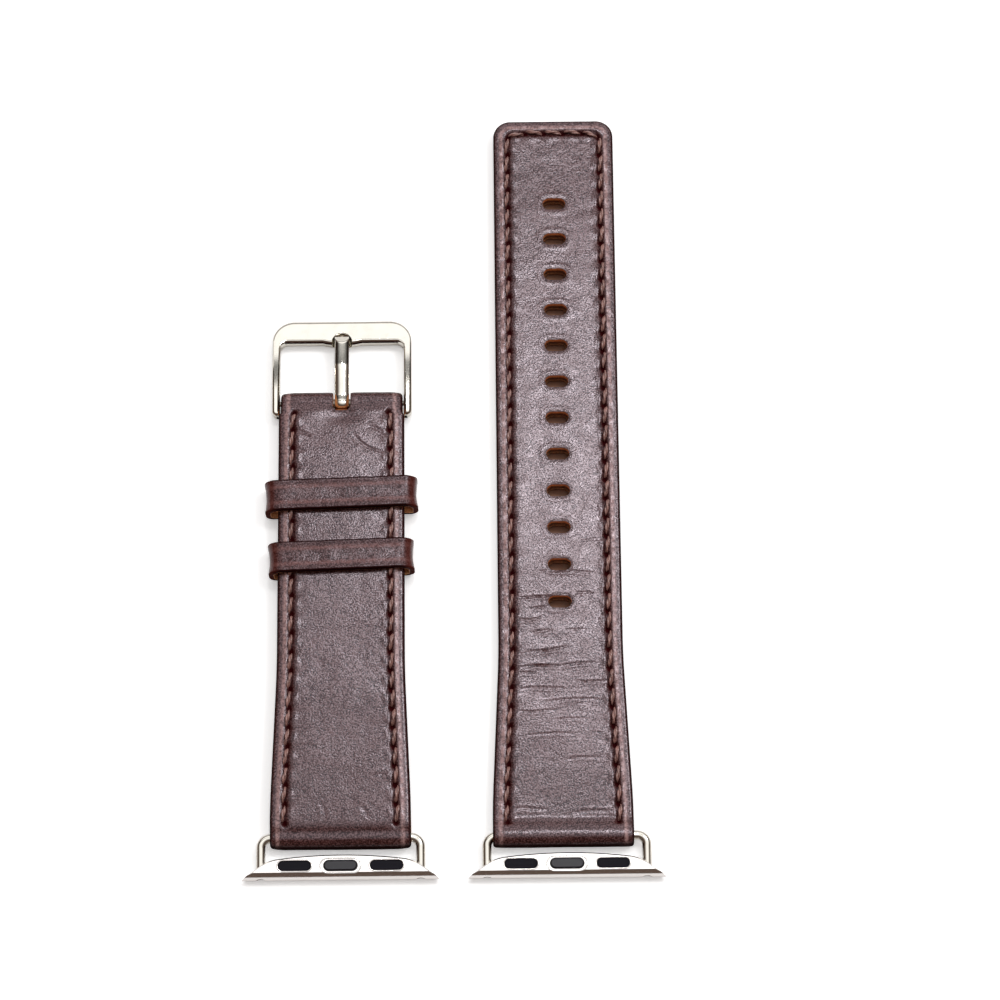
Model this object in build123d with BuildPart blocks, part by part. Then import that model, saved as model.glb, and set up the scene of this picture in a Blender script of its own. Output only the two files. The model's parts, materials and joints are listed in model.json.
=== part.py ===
from build123d import *
import os
from math import acos, atan2, copysign, cos, degrees, pi, radians, sin, sqrt, tan

# Two-piece leather watch strap with slide-in lug adapters, laid out flat with the grain side up.
# X runs across both halves, +Y runs along them from the lugs to the buckle and the tail's tip,
# and the surface that they lie on is z = 0. All sizes are in millimetres.

# Layout, counted along the strap from the hoop bars that carry the leather
bar_to_tip = 120.96
bar_to_nose = 6.56
hoop_to_buckle = 71.9
lug_axis_x = 17.7
long_lug_play = 0.5

# Leather
ply = 1.0
lining_ply = 0.65
glue_gap = 0.05
lug_end_margin = 4.45
short_width = 20.3
long_width = 19.8
fold_width = 19.7
shoulder = 5.0
short_taper_end = 27.0
long_taper_end = 29.2
taper_ease = 3.0
tip_corner = 2.8
bend_radius = 3.0
flap_length = 9.0
end_gap = 0.3
bar_clearance = 0.1

# Size holes in the long half
hole_count = 12
hole_pitch = 6.2
hole_length = 3.9
hole_width = 2.15
tip_to_first_hole = 14.86

# Stitching
stitch_inset = 2.2
stitch_pitch = 3.15
stitch_length = 2.3
stitch_width = 0.7
stitch_proud = 0.1
channel_width = 0.8
channel_depth = 0.25
needle_end_share = 0.3

# Keepers
keeper_ply = 1.2
keeper_gap = 0.2
keeper_play = 0.25
upper_keeper_side = 1.05
lower_keeper_side = 0.45
upper_keeper_length = 5.1
lower_keeper_length = 5.0
buckle_to_upper_keeper = 16.18
buckle_to_lower_keeper = 26.52
keeper_crown_corner = 2.4
keeper_foot_corner = 1.6
keeper_seam = 0.15

# Spring bar
tube_diameter = 1.5
tube_bore = 1.16
tube_lip = 0.3
lip_bore = 0.88
pin_body = 1.1
pin_body_length = 6.4
pin_tip = 0.8
pin_reach = 0.9
pin_lip_play = 0.02
pin_point = 0.15
coil_diameter = 0.9
coil_wire = 0.16
coil_turns = 6
coil_steps_per_turn = 10

# Buckle frame
frame_side_gap = 0.2
arm_width = 1.28
frame_reach = 14.3
frame_tail = 2.3
frame_thick = 2.2
frame_crown = 0.45
frame_foot = 0.1
frame_rail = 4.0
frame_outer_corner = 3.6
frame_inner_corner = 1.3
frame_end_round = 0.9
arm_end_corner = 0.9
rail_swell = 0.4
rail_swell_width = 6.4
notch_radius = 1.65
notch_floor = 1.15
arm_hole = 0.86
arm_hole_depth = 1.0

# Tongue and the slot that it turns in
tongue_rod = 2.3
tongue_onto_rail = 1.5
tongue_eye = 3.0
tongue_eye_width = 2.5
tongue_clearance = 0.05
tongue_tip_round = 0.6
tongue_facet = 1.7
tongue_facet_angle = 38.0
notch_clearance = 0.03
slot_width = 3.2
slot_back = 1.6

# Hoop and its screws
hoop_rod = 1.45
hoop_side_gap = 0.75
hoop_corner = 1.5
hoop_leg = 5.4
hoop_tilt = 7.0
leg_clearance = 0.02
tap_bore = 0.84
tap_depth = 2.4
screw_shank = 0.8
screw_shank_length = 2.3
screw_head = 1.5
screw_head_height = 0.45
screw_head_clearance = 0.05
screw_wall = 0.45
recess_width = 0.28
recess_depth = 0.22
recess_length = 1.0

# Lug bar
lug_length = 31.0
lug_thick = 2.6
lug_depth = 3.81
lug_flat_depth = 2.8
lug_shoulder_run = 4.2
lug_crown_sag = 0.83
lug_shoulder_round = 6.0
nose_height = 1.2
nose_under = 0.7
lug_edge = 0.2

# Rubber pads, lock button and its cavity
pocket_length = 5.2
pocket_width = 1.6
pocket_pitch = 7.2
pocket_inset = 2.05
pocket_bevel = 0.12
pad_depth = 0.9
pad_gap = 0.03
pad_bevel = 0.12
button_gap = 0.06
button_proud = 0.2
cavity_length = 6.2
cavity_width = 2.2
roof_thick = 0.9
foot_thick = 0.4
foot_play = 0.02
cover_thick = 0.4
cover_gap = 0.02
leaf_thick = 0.12
leaf_width = 1.2
leaf_length = 4.6
leaf_play = 0.02

# Every cut runs past the surface that it opens by this much
overrun = 1.0


# Places that follow from the sizes above
lug_end_width = lug_length - 2 * lug_end_margin
hoop_y = (bar_to_nose - bar_to_tip) / 2
tip_y = hoop_y + bar_to_tip
nose_y = hoop_y - bar_to_nose
buckle_y = hoop_y + hoop_to_buckle
short_x = -lug_axis_x
long_x = lug_axis_x - long_lug_play
hoop_z = hoop_rod / 2 + bar_clearance + ply
buckle_z = tube_diameter / 2 + bar_clearance + ply
body_thick = ply + glue_gap + ply + lining_ply
short_floor = keeper_ply + keeper_gap
long_floor = stitch_proud
upper_keeper_width = short_width + 2 * (keeper_ply + upper_keeper_side)
lower_keeper_width = short_width + 2 * (keeper_ply + lower_keeper_side)
keeper_height = short_floor + body_thick + keeper_play + keeper_ply
frame_inner = fold_width + 2 * frame_side_gap
frame_outer = frame_inner + 2 * arm_width
rail_y = buckle_y + frame_reach - frame_rail
tongue_reach = rail_y - buckle_y + tongue_onto_rail
hoop_span = lug_end_width + hoop_rod + 2 * hoop_side_gap
tongue_rest = rail_y - rail_swell - buckle_y
tongue_rest_z = notch_floor + notch_clearance + tongue_rod / 2
tongue_tip_z = buckle_z + (tongue_rest_z - buckle_z) * tongue_reach / tongue_rest
tall = 2 * keeper_height
wide = 2 * lug_end_width


def save(piece, name):
    """Label a finished piece and write it."""
    piece.part.label = name
    export_step(piece.part, f"parts/{name}.step")


os.makedirs("parts", exist_ok=True)


# Leather: shared shapes


def bend_run(lift):
    """Length along the strap of the S-bend that lifts a ply by this much."""
    return sqrt(abs(lift) * (4 * bend_radius - abs(lift)))


def bend_angle(lift):
    """Turn, in degrees, of each of the two arcs of that S-bend."""
    return degrees(acos(1 - abs(lift) / (2 * bend_radius)))


def flap_lift(bar_diameter, bar_z, floor):
    """Height that the flap climbs from the foot of the loop to its layer in the body."""
    loop = bar_diameter / 2 + bar_clearance + ply / 2
    return floor + lining_ply + ply / 2 - (bar_z - loop)


def fold_path(bar_diameter, bar_y, bar_z, floor, side):
    """Draw a ply's mid-line round a bar and back under itself; side is the strap's end along Y.

    It returns the point where the flat body starts.
    """
    loop = bar_diameter / 2 + bar_clearance + ply / 2
    body_mid = floor + body_thick - ply / 2
    body_lift = bar_z + loop - body_mid
    back_lift = flap_lift(bar_diameter, bar_z, floor)
    body_turn = side * copysign(bend_angle(body_lift), body_lift)
    back_turn = -side * copysign(bend_angle(back_lift), back_lift)
    start = (bar_y - side * bend_run(body_lift), body_mid)
    out_a = JernArc(start, (side, 0), bend_radius, body_turn)
    out_b = JernArc(out_a @ 1, out_a % 1, bend_radius, -body_turn)
    round_bar = JernArc(out_b @ 1, out_b % 1, loop, -side * 180)
    back_a = JernArc(round_bar @ 1, round_bar % 1, bend_radius, back_turn)
    back_b = JernArc(back_a @ 1, back_a % 1, bend_radius, -back_turn)
    Line(back_b @ 1, (bar_y - side * flap_length, (back_b @ 1).Y))
    return start


def plan_face(centre_x, stations, corners):
    """Plan of one half from (y, half width) stations, with a corner radius at each station."""
    right = [(centre_x + half, y) for y, half in stations]
    left = [(centre_x - half, y) for y, half in reversed(stations)]
    with BuildLine() as edge:
        FilletPolyline(*right, *left, radius=corners + corners[::-1], close=True)
    make_face(edge.edges())


def eased(stations, corners):
    """Corner radii with each None replaced by the one that starts an ease's length before it."""
    radii = list(corners)
    for place, corner in enumerate(corners):
        if corner is None:
            turns = [
                atan2(b[1] - a[1], b[0] - a[0])
                for a, b in (stations[place - 1 : place + 1], stations[place : place + 2])
            ]
            radii[place] = taper_ease / tan(abs(turns[1] - turns[0]) / 2)
    return radii


def half_width(stations, y):
    """Half width of the leather at a place along the strap."""
    for (low, low_half), (high, high_half) in zip(stations, stations[1:]):
        if low <= y <= high:
            return low_half + (high_half - low_half) * (y - low) / (high - low)
    return stations[-1][1]


def flat_layer(centre_x, stations, corners, bottom, thick, low_y, high_y):
    """Fill a flat layer of the body, in the open part, between two places along the strap."""
    with BuildSketch(Plane.XY.offset(bottom)) as layer:
        plan_face(centre_x, stations, corners)
        with Locations((centre_x, (low_y + high_y) / 2)):
            Rectangle(wide, high_y - low_y, mode=Mode.INTERSECT)
    extrude(layer.sketch, amount=thick)


def seam_stretch(centre_x, stations, side, low_y, high_y):
    """Points of a side seam, inset from the edge."""
    points = [(low_y, half_width(stations, low_y))]
    points += [(y, half) for y, half in stations if low_y < y < high_y]
    points += [(high_y, half_width(stations, high_y))]
    return [(centre_x + side * (half - stitch_inset), y) for y, half in points]


def seam_wire(points):
    """An open seam line on the ground plane."""
    with BuildLine() as seam:
        Polyline(*points)
    return seam.wires()[0]


def stitch_places(seams):
    """Centre and heading of every stitch, evenly spaced along each seam."""
    places = []
    for seam in seams:
        count = round(seam.length / stitch_pitch)
        for step in range(count):
            share = (step + 1 / 2) / count
            at, along = seam @ share, seam % share
            places.append(Location((at.X, at.Y, 0), (0, 0, degrees(atan2(along.Y, along.X)))))
    return places


def stitch_points():
    """Outline of a stitch from above, slanted from one needle hole to the next."""
    tip_x, side_y = stitch_length / 2, stitch_width / 2
    slant = tip_x * needle_end_share
    upper = [(tip_x, side_y), (slant - tip_x, side_y)]
    return upper + [(-x, -y) for x, y in upper]


def stitching(seams, floor):
    """Every stitch of a half, seated in its channels on the grain side and on the lining."""
    with BuildPart() as thread:
        for level in (floor - stitch_proud, floor + body_thick - channel_depth):
            with BuildSketch(Plane.XY.offset(level)):
                with Locations(*stitch_places(seams)):
                    Polygon(*stitch_points(), align=None)
            extrude(amount=channel_depth + stitch_proud)
    return thread


def cut_channels(seams, level, outward):
    """Cut the stitch channels in the open part, from their floor out through its face."""
    with BuildSketch(Plane.XY.offset(level)) as channel:
        for seam in seams:
            trace(seam, channel_width)
    extrude(channel.sketch, amount=outward * (channel_depth + overrun), mode=Mode.SUBTRACT)


# Leather: stations along each half, as (y, half width), with the corner radius at each

short_stations = [
    (hoop_y - hoop_z - overrun, lug_end_width / 2),
    (hoop_y + shoulder, lug_end_width / 2),
    (hoop_y + short_taper_end, short_width / 2),
    (buckle_y - frame_tail - end_gap, short_width / 2),
    (buckle_y - frame_tail, fold_width / 2),
    (buckle_y + buckle_z + overrun, fold_width / 2),
]
short_corners = eased(short_stations, [0, None, None, 0, 0, 0])
long_stations = [
    (hoop_y - hoop_z - overrun, lug_end_width / 2),
    (hoop_y + shoulder, lug_end_width / 2),
    (hoop_y + long_taper_end, long_width / 2),
    (tip_y, long_width / 2),
]
long_corners = eased(long_stations, [0, None, None, tip_corner])

# The lining stops clear of the flaps that climb out of the loops
short_lug_flap = bend_run(flap_lift(hoop_rod, hoop_z, short_floor))
short_buckle_flap = bend_run(flap_lift(tube_diameter, buckle_z, short_floor))
long_lug_flap = bend_run(flap_lift(hoop_rod, hoop_z, long_floor))
short_lining_low = hoop_y + short_lug_flap + end_gap
short_lining_high = buckle_y - short_buckle_flap - end_gap
long_lining_low = hoop_y + long_lug_flap + end_gap

short_sides = [
    seam_stretch(short_x, short_stations, side, short_lining_low, short_lining_high)
    for side in (-1, 1)
]
long_sides = [
    seam_stretch(long_x, long_stations, side, long_lining_low, tip_y - stitch_inset)
    for side in (-1, 1)
]
tip_seam = [points[-1] for points in long_sides]
short_channels = [seam_wire(points) for points in short_sides]
long_channels = [seam_wire(long_sides[0] + long_sides[1][::-1])]
short_seams = short_channels
long_seams = [seam_wire(points) for points in (*long_sides, tip_seam)]


# Short half

with BuildPart() as short_outer_leather:
    with BuildSketch(Plane.YZ.offset(short_x)):
        with BuildLine():
            lug_start = fold_path(hoop_rod, hoop_y, hoop_z, short_floor, -1)
            buckle_start = fold_path(tube_diameter, buckle_y, buckle_z, short_floor, 1)
            Line(lug_start, buckle_start)
        trace(line_width=ply)
    extrude(amount=wide / 2, both=True)
    with BuildSketch(Plane.XY.offset(-overrun)):
        plan_face(short_x, short_stations, short_corners)
    extrude(amount=tall, mode=Mode.INTERSECT)
    with BuildSketch(Plane.XY.offset(-overrun)):
        slot_end = buckle_y + buckle_z + overrun
        with Locations((short_x, (buckle_y - slot_back + slot_end) / 2)):
            Rectangle(slot_width, slot_end - buckle_y + slot_back)
    extrude(amount=tall, mode=Mode.SUBTRACT)
    cut_channels(short_channels, short_floor + body_thick - channel_depth, 1)
save(short_outer_leather, "short_outer_leather")

with BuildPart() as short_lining:
    flat_layer(
        short_x,
        short_stations,
        short_corners,
        short_floor,
        lining_ply,
        short_lining_low,
        short_lining_high,
    )
    cut_channels(short_channels, short_floor + channel_depth, -1)
save(short_lining, "short_lining")

with BuildPart() as short_filler:
    flat_layer(
        short_x,
        short_stations,
        short_corners,
        short_floor + lining_ply,
        ply + glue_gap,
        hoop_y + flap_length + end_gap,
        buckle_y - flap_length - end_gap,
    )
save(short_filler, "short_filler")

save(stitching(short_seams, short_floor), "short_stitching")


# Keepers, each a band with its ends butted under the strap


def keeper(centre_y, outer_width, length):
    """A leather loop that slides along the short half."""
    inner_corner = keeper_foot_corner - keeper_ply
    with BuildPart() as band:
        with BuildSketch(Plane.XZ.offset(-centre_y)) as ring:
            with Locations((short_x, keeper_height / 2)):
                Rectangle(outer_width, keeper_height)
            fillet(ring.vertices().group_by(Axis.Y)[0], keeper_foot_corner)
            fillet(ring.vertices().group_by(Axis.Y)[-1], keeper_crown_corner)
            with Locations((short_x, keeper_height / 2)):
                RectangleRounded(
                    outer_width - 2 * keeper_ply,
                    keeper_height - 2 * keeper_ply,
                    inner_corner,
                    mode=Mode.SUBTRACT,
                )
            with Locations((short_x, 0)):
                Rectangle(keeper_seam, 2 * keeper_ply + overrun, mode=Mode.SUBTRACT)
        extrude(amount=length / 2, both=True)
    return band


upper_keeper = keeper(buckle_y - buckle_to_upper_keeper, upper_keeper_width, upper_keeper_length)
save(upper_keeper, "upper_keeper")
lower_keeper = keeper(buckle_y - buckle_to_lower_keeper, lower_keeper_width, lower_keeper_length)
save(lower_keeper, "lower_keeper")


# Long half, with its size holes through every layer


def cut_size_holes():
    """Cut the row of size holes through the open part."""
    first = tip_y - tip_to_first_hole
    with BuildSketch(Plane.XY.offset(-overrun)) as row:
        with Locations(*[(long_x, first - number * hole_pitch) for number in range(hole_count)]):
            SlotOverall(hole_length, hole_width)
    extrude(row.sketch, amount=tall, mode=Mode.SUBTRACT)


with BuildPart() as long_outer_leather:
    with BuildSketch(Plane.YZ.offset(long_x)):
        with BuildLine():
            lug_start = fold_path(hoop_rod, hoop_y, hoop_z, long_floor, -1)
            Line(lug_start, (tip_y + overrun, long_floor + body_thick - ply / 2))
        trace(line_width=ply)
    extrude(amount=wide / 2, both=True)
    with BuildSketch(Plane.XY.offset(-overrun)):
        plan_face(long_x, long_stations, long_corners)
    extrude(amount=tall, mode=Mode.INTERSECT)
    cut_size_holes()
    cut_channels(long_channels, long_floor + body_thick - channel_depth, 1)
save(long_outer_leather, "long_outer_leather")

with BuildPart() as long_lining:
    flat_layer(
        long_x,
        long_stations,
        long_corners,
        long_floor,
        lining_ply,
        long_lining_low,
        tip_y,
    )
    cut_size_holes()
    cut_channels(long_channels, long_floor + channel_depth, -1)
save(long_lining, "long_lining")

with BuildPart() as long_filler:
    flat_layer(
        long_x,
        long_stations,
        long_corners,
        long_floor + lining_ply,
        ply + glue_gap,
        hoop_y + flap_length + end_gap,
        tip_y,
    )
    cut_size_holes()
save(long_filler, "long_filler")

save(stitching(long_seams, long_floor), "long_stitching")


# Spring bar: a crimped tube with a sprung pin in each end

bar_plane = Plane(origin=(short_x, buckle_y, buckle_z), x_dir=(1, 0, 0), z_dir=(0, -1, 0))
bar_axis = Axis((short_x, buckle_y, buckle_z), (1, 0, 0))
tube_end = fold_width / 2
pin_back = tube_end - tube_lip - pin_lip_play
pin_front = pin_back - pin_body_length

with BuildPart() as spring_bar_tube:
    with BuildSketch(bar_plane):
        with BuildLine():
            Polyline(
                (-tube_end, lip_bore / 2),
                (-tube_end, tube_diameter / 2),
                (tube_end, tube_diameter / 2),
                (tube_end, lip_bore / 2),
                (tube_end - tube_lip, lip_bore / 2),
                (tube_end - tube_lip, tube_bore / 2),
                (tube_lip - tube_end, tube_bore / 2),
                (tube_lip - tube_end, lip_bore / 2),
                close=True,
            )
        make_face()
    revolve(axis=bar_axis)
save(spring_bar_tube, "spring_bar_tube")

for name, side in (("left", -1), ("right", 1)):
    tip_end = frame_inner / 2 + pin_reach
    with BuildPart() as pin:
        with BuildSketch(bar_plane):
            with BuildLine():
                Polyline(
                    (side * pin_front, 0),
                    (side * pin_front, pin_body / 2),
                    (side * pin_back, pin_body / 2),
                    (side * pin_back, pin_tip / 2),
                    (side * (tip_end - pin_point), pin_tip / 2),
                    (side * tip_end, pin_tip / 2 - pin_point),
                    (side * tip_end, 0),
                    close=True,
                )
            make_face()
        revolve(axis=bar_axis)
    save(pin, f"spring_bar_pin_{name}")

# The coil is one ruled loft through six-sided sections of the wire
coil_radius = (coil_diameter - coil_wire) / 2
coil_length = 2 * pin_front - coil_wire
coil_steps = coil_turns * coil_steps_per_turn


def coil_point(step):
    """Centre of the wire after this many steps."""
    turn = 2 * pi * step / coil_steps_per_turn
    along = coil_length * (step / coil_steps - 1 / 2)
    return Vector(
        short_x + along, buckle_y + coil_radius * cos(turn), buckle_z + coil_radius * sin(turn)
    )


with BuildPart() as spring_bar_spring:
    for step in range(coil_steps + 1):
        heading = coil_point(step + 1) - coil_point(step - 1)
        inward = Vector(coil_point(step).X, buckle_y, buckle_z) - coil_point(step)
        with BuildSketch(Plane(origin=coil_point(step), x_dir=inward, z_dir=heading)):
            RegularPolygon(coil_wire / 2, 6)
    loft(ruled=True)
save(spring_bar_spring, "spring_bar_spring")

samples = [coil_point(step) for step in range(coil_steps + 1)]
gaps = [
    (a - b).length for i, a in enumerate(samples) for b in samples[i + coil_steps_per_turn // 2 :]
]
print("spring coil: least gap to itself", round(min(gaps) - coil_wire, 2), "mm")


# Buckle frame: an arched rail and two arms, with a rest for the tongue's tip

frame_low = buckle_y - frame_tail
frame_high = buckle_y + frame_reach
with BuildPart() as buckle_frame:
    with BuildSketch(Plane.XY.offset(-overrun)) as frame_plan:
        with Locations((short_x, (frame_low + frame_high) / 2)):
            Rectangle(frame_outer, frame_high - frame_low)
        fillet(frame_plan.vertices().group_by(Axis.Y)[0], arm_end_corner)
        fillet(frame_plan.vertices().group_by(Axis.Y)[-1], frame_outer_corner)
        with BuildSketch(mode=Mode.PRIVATE) as window:
            with Locations((short_x, (frame_low - overrun + rail_y) / 2)):
                Rectangle(frame_inner, rail_y - frame_low + overrun)
            fillet(window.vertices().group_by(Axis.Y)[-1], frame_inner_corner)
        add(window.sketch, mode=Mode.SUBTRACT)
        with BuildLine():
            swell = ThreePointArc(
                (short_x - rail_swell_width / 2, rail_y),
                (short_x, rail_y - rail_swell),
                (short_x + rail_swell_width / 2, rail_y),
            )
            Line(swell @ 1, swell @ 0)
        make_face()
    extrude(amount=tall)
    with BuildSketch(Plane.YZ.offset(short_x)) as frame_side:
        tail_z, foot_z = buckle_z, frame_thick / 2 + frame_foot
        with BuildLine():
            ThreePointArc(
                (frame_low, tail_z),
                ((frame_low + frame_high) / 2, (tail_z + foot_z) / 2 + frame_crown),
                (frame_high, foot_z),
            )
        trace(line_width=frame_thick)
        fillet(frame_side.vertices(), frame_end_round)
    extrude(amount=frame_outer, both=True, mode=Mode.INTERSECT)
    with BuildSketch(Plane.XY.offset(notch_floor)):
        with Locations((short_x, rail_y)):
            Circle(notch_radius)
        with Locations((short_x, rail_y - rail_swell / 2)):
            Rectangle(2 * notch_radius, rail_swell)
    extrude(amount=tall, mode=Mode.SUBTRACT)
    for side in (-1, 1):
        with BuildSketch(Plane.YZ.offset(short_x + side * frame_inner / 2)):
            with Locations((buckle_y, buckle_z)):
                Circle(arm_hole / 2)
        extrude(amount=side * arm_hole_depth, mode=Mode.SUBTRACT)
save(buckle_frame, "buckle_frame")


# Tongue: a rod with an eye on the spring bar and a slanted facet at its tip

with BuildPart() as buckle_tongue:
    rod_start = Vector(short_x, buckle_y, buckle_z)
    rod_line = Vector(short_x, buckle_y + tongue_reach, tongue_tip_z) - rod_start
    with BuildSketch(Plane(origin=rod_start, z_dir=rod_line)):
        Circle(tongue_rod / 2)
    extrude(amount=rod_line.length)
    fillet(buckle_tongue.edges().sort_by(Axis.Y)[-1], tongue_tip_round)
    with BuildSketch(Plane.YZ.offset(short_x)):
        with Locations((buckle_y, buckle_z)):
            Circle(tongue_eye / 2)
    extrude(amount=tongue_eye_width / 2, both=True)
    with BuildSketch(Plane.YZ.offset(short_x)):
        with Locations((buckle_y, buckle_z)):
            Circle(tube_diameter / 2 + tongue_clearance)
    extrude(amount=tongue_rod, both=True, mode=Mode.SUBTRACT)
    slant = radians(tongue_facet_angle)
    split(
        bisect_by=Plane(
            origin=(
                short_x,
                buckle_y + tongue_reach - tongue_facet,
                tongue_tip_z + tongue_rod / 2,
            ),
            z_dir=(0, sin(slant), cos(slant)),
        ),
        keep=Keep.BOTTOM,
    )
save(buckle_tongue, "buckle_tongue")


# Lug adapter: the same nine pieces for each half

pocket_y = nose_y + pocket_inset
lug_rear = nose_y + lug_depth
roof_z = lug_thick - roof_thick
tilt = radians(hoop_tilt)


def slot_at(centre_x, bottom, height, length, width, mode=Mode.ADD):
    """An upright slot-shaped block, or a cut of that shape, at the pads' row."""
    with BuildSketch(Plane.XY.offset(bottom)) as slot:
        with Locations((centre_x, pocket_y)):
            SlotOverall(length, width)
    extrude(slot.sketch, amount=height, mode=mode)


def rod_along(plane, distance, length, diameter, mode=Mode.ADD):
    """A round bar, or a bore, along a leg of the hoop, from a distance beyond the hoop's bar."""
    with BuildSketch(plane.offset(distance)) as section:
        Circle(diameter / 2)
    extrude(section.sketch, amount=length, mode=mode)


def leg_plane(centre_x, side):
    """Section plane of one leg at the bar, facing the lug."""
    return Plane(
        origin=(centre_x + side * hoop_span / 2, hoop_y, hoop_z),
        x_dir=(1, 0, 0),
        z_dir=(0, -cos(tilt), -sin(tilt)),
    )


def lug_bar(centre_x):
    """The bar that slides into a watch case, with its pockets and seats."""
    crown = lug_length / 2 - lug_shoulder_run
    with BuildPart() as bar:
        with BuildSketch() as plan:
            with BuildLine():
                rear = ThreePointArc(
                    (centre_x - crown, lug_rear - lug_crown_sag),
                    (centre_x, lug_rear),
                    (centre_x + crown, lug_rear - lug_crown_sag),
                )
                Polyline(
                    rear @ 1,
                    (centre_x + lug_length / 2, nose_y),
                    (centre_x - lug_length / 2, nose_y),
                    rear @ 0,
                )
            make_face()
            shoulders = plan.vertices().group_by(Axis.Y)[-1]
            fillet(shoulders, lug_shoulder_round)
        extrude(amount=lug_thick)
        with BuildSketch(Plane.YZ.offset(centre_x)):
            with BuildLine():
                upper = TangentArc(
                    (nose_y, nose_height), (lug_rear - lug_flat_depth, lug_thick), tangent=(0, 1)
                )
                lower = TangentArc(
                    (nose_y, nose_height), (nose_y + nose_under, 0), tangent=(0, -1)
                )
                Polyline(
                    upper @ 1,
                    (lug_rear + overrun, lug_thick),
                    (lug_rear + overrun, 0),
                    lower @ 1,
                )
            make_face()
        extrude(amount=lug_length, both=True, mode=Mode.INTERSECT)
        chamfer(
            bar.edges().filter_by(
                lambda edge: abs(edge.center().Z - lug_thick) < lug_edge
                and edge.center().Y > lug_rear - lug_flat_depth + lug_edge
            ),
            lug_edge,
        )
        for step in (-1, 1):
            slot_at(
                centre_x + step * pocket_pitch,
                lug_thick - pad_depth,
                overrun + pad_depth,
                pocket_length,
                pocket_width,
                Mode.SUBTRACT,
            )
        slot_at(
            centre_x, roof_z, overrun + roof_thick, pocket_length, pocket_width, Mode.SUBTRACT
        )
        slot_at(centre_x, 0, roof_z, cavity_length, cavity_width, Mode.SUBTRACT)
        rims = bar.edges().filter_by(
            lambda edge: abs(edge.center().Z - lug_thick) < pad_gap
            and abs(edge.center().Y - pocket_y) < pocket_width / 2 + pad_gap
            and abs(edge.center().X - centre_x) < pocket_pitch + pocket_length / 2
        )
        chamfer(rims, pocket_bevel)
        for side in (-1, 1):
            plane = leg_plane(centre_x, side)
            back = hoop_leg - 2 * overrun
            rod_along(
                plane, back, 2 * overrun, hoop_rod + 2 * leg_clearance, Mode.SUBTRACT
            )
            rod_along(plane, hoop_leg, screw_wall, tap_bore, Mode.SUBTRACT)
            seat = hoop_leg + screw_wall
            bore = screw_head + 2 * screw_head_clearance
            rod_along(plane, seat, 2 * overrun, bore, Mode.SUBTRACT)
    return bar


def hoop(centre_x):
    """The bent rod that carries the leather, tapped in the end of each leg."""
    half = hoop_span / 2
    plane = Plane(
        origin=(centre_x, hoop_y, hoop_z), x_dir=(1, 0, 0), z_dir=(0, -sin(tilt), cos(tilt))
    )
    with BuildPart() as bent:
        with BuildLine(plane) as bend:
            FilletPolyline(
                (-half, -hoop_leg), (-half, 0), (half, 0), (half, -hoop_leg), radius=hoop_corner
            )
        route = bend.wires()[0]
        with BuildSketch(Plane(origin=route @ 0, z_dir=route % 0)):
            Circle(hoop_rod / 2)
        sweep(path=route)
        for side in (-1, 1):
            start = hoop_leg - tap_depth
            rod_along(leg_plane(centre_x, side), start, tap_depth, tap_bore, Mode.SUBTRACT)
    return bent


def hoop_screw(centre_x, side):
    """A screw that holds one leg, with a cross recess in its head."""
    plane = leg_plane(centre_x, side)
    seat = hoop_leg + screw_wall
    with BuildPart() as screw:
        rod_along(plane, seat - screw_shank_length, screw_shank_length, screw_shank)
        rod_along(plane, seat, screw_head_height, screw_head)
        with BuildSketch(plane.offset(seat + screw_head_height - recess_depth)):
            Rectangle(recess_length, recess_width)
            Rectangle(recess_width, recess_length)
        extrude(amount=recess_depth + overrun, mode=Mode.SUBTRACT)
    return screw


def rubber_pad(centre_x):
    """A rubber insert, flush with the lug's face."""
    with BuildPart() as pad:
        slot_at(
            centre_x,
            lug_thick - pad_depth,
            pad_depth,
            pocket_length - 2 * pad_gap,
            pocket_width - 2 * pad_gap,
        )
        chamfer(pad.faces().sort_by(Axis.Z)[-1].edges(), pad_bevel)
    return pad


def lock_button(centre_x):
    """The sprung button that locks the lug in its case, kept in by its wider foot."""
    foot_top = roof_z - foot_play
    with BuildPart() as button:
        slot_at(
            centre_x,
            foot_top - foot_thick,
            foot_thick,
            cavity_length - 2 * button_gap,
            cavity_width - 2 * button_gap,
        )
        slot_at(
            centre_x,
            foot_top,
            lug_thick + button_proud - foot_top,
            pocket_length - 2 * button_gap,
            pocket_width - 2 * button_gap,
        )
        chamfer(button.faces().sort_by(Axis.Z)[-1].edges(), pad_bevel)
    return button


def lock_cover(centre_x):
    """The plate that closes the cavity under the button."""
    with BuildPart() as cover:
        slot_at(
            centre_x, 0, cover_thick, cavity_length - 2 * cover_gap, cavity_width - 2 * cover_gap
        )
    return cover


def leaf_spring(centre_x):
    """The bowed leaf between the cover and the button's foot."""
    foot = roof_z - foot_play - foot_thick
    low = cover_thick + leaf_play + leaf_thick / 2
    high = foot - leaf_play - leaf_thick / 2
    with BuildPart() as leaf:
        with BuildSketch(Plane.XZ.offset(-pocket_y)):
            with BuildLine():
                ThreePointArc(
                    (centre_x - leaf_length / 2, low),
                    (centre_x, high),
                    (centre_x + leaf_length / 2, low),
                )
            trace(line_width=leaf_thick)
        extrude(amount=leaf_width / 2, both=True)
    return leaf


for half, lug_x in (("short", short_x), ("long", lug_axis_x)):
    save(lug_bar(lug_x), f"{half}_lug_bar")
    save(hoop(lug_x), f"{half}_hoop")
    save(hoop_screw(lug_x, -1), f"{half}_hoop_screw_left")
    save(hoop_screw(lug_x, 1), f"{half}_hoop_screw_right")
    save(rubber_pad(lug_x - pocket_pitch), f"{half}_lug_pad_left")
    save(rubber_pad(lug_x + pocket_pitch), f"{half}_lug_pad_right")
    save(lock_button(lug_x), f"{half}_lock_button")
    save(lock_cover(lug_x), f"{half}_lock_cover")
    save(leaf_spring(lug_x), f"{half}_lock_leaf_spring")
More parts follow.
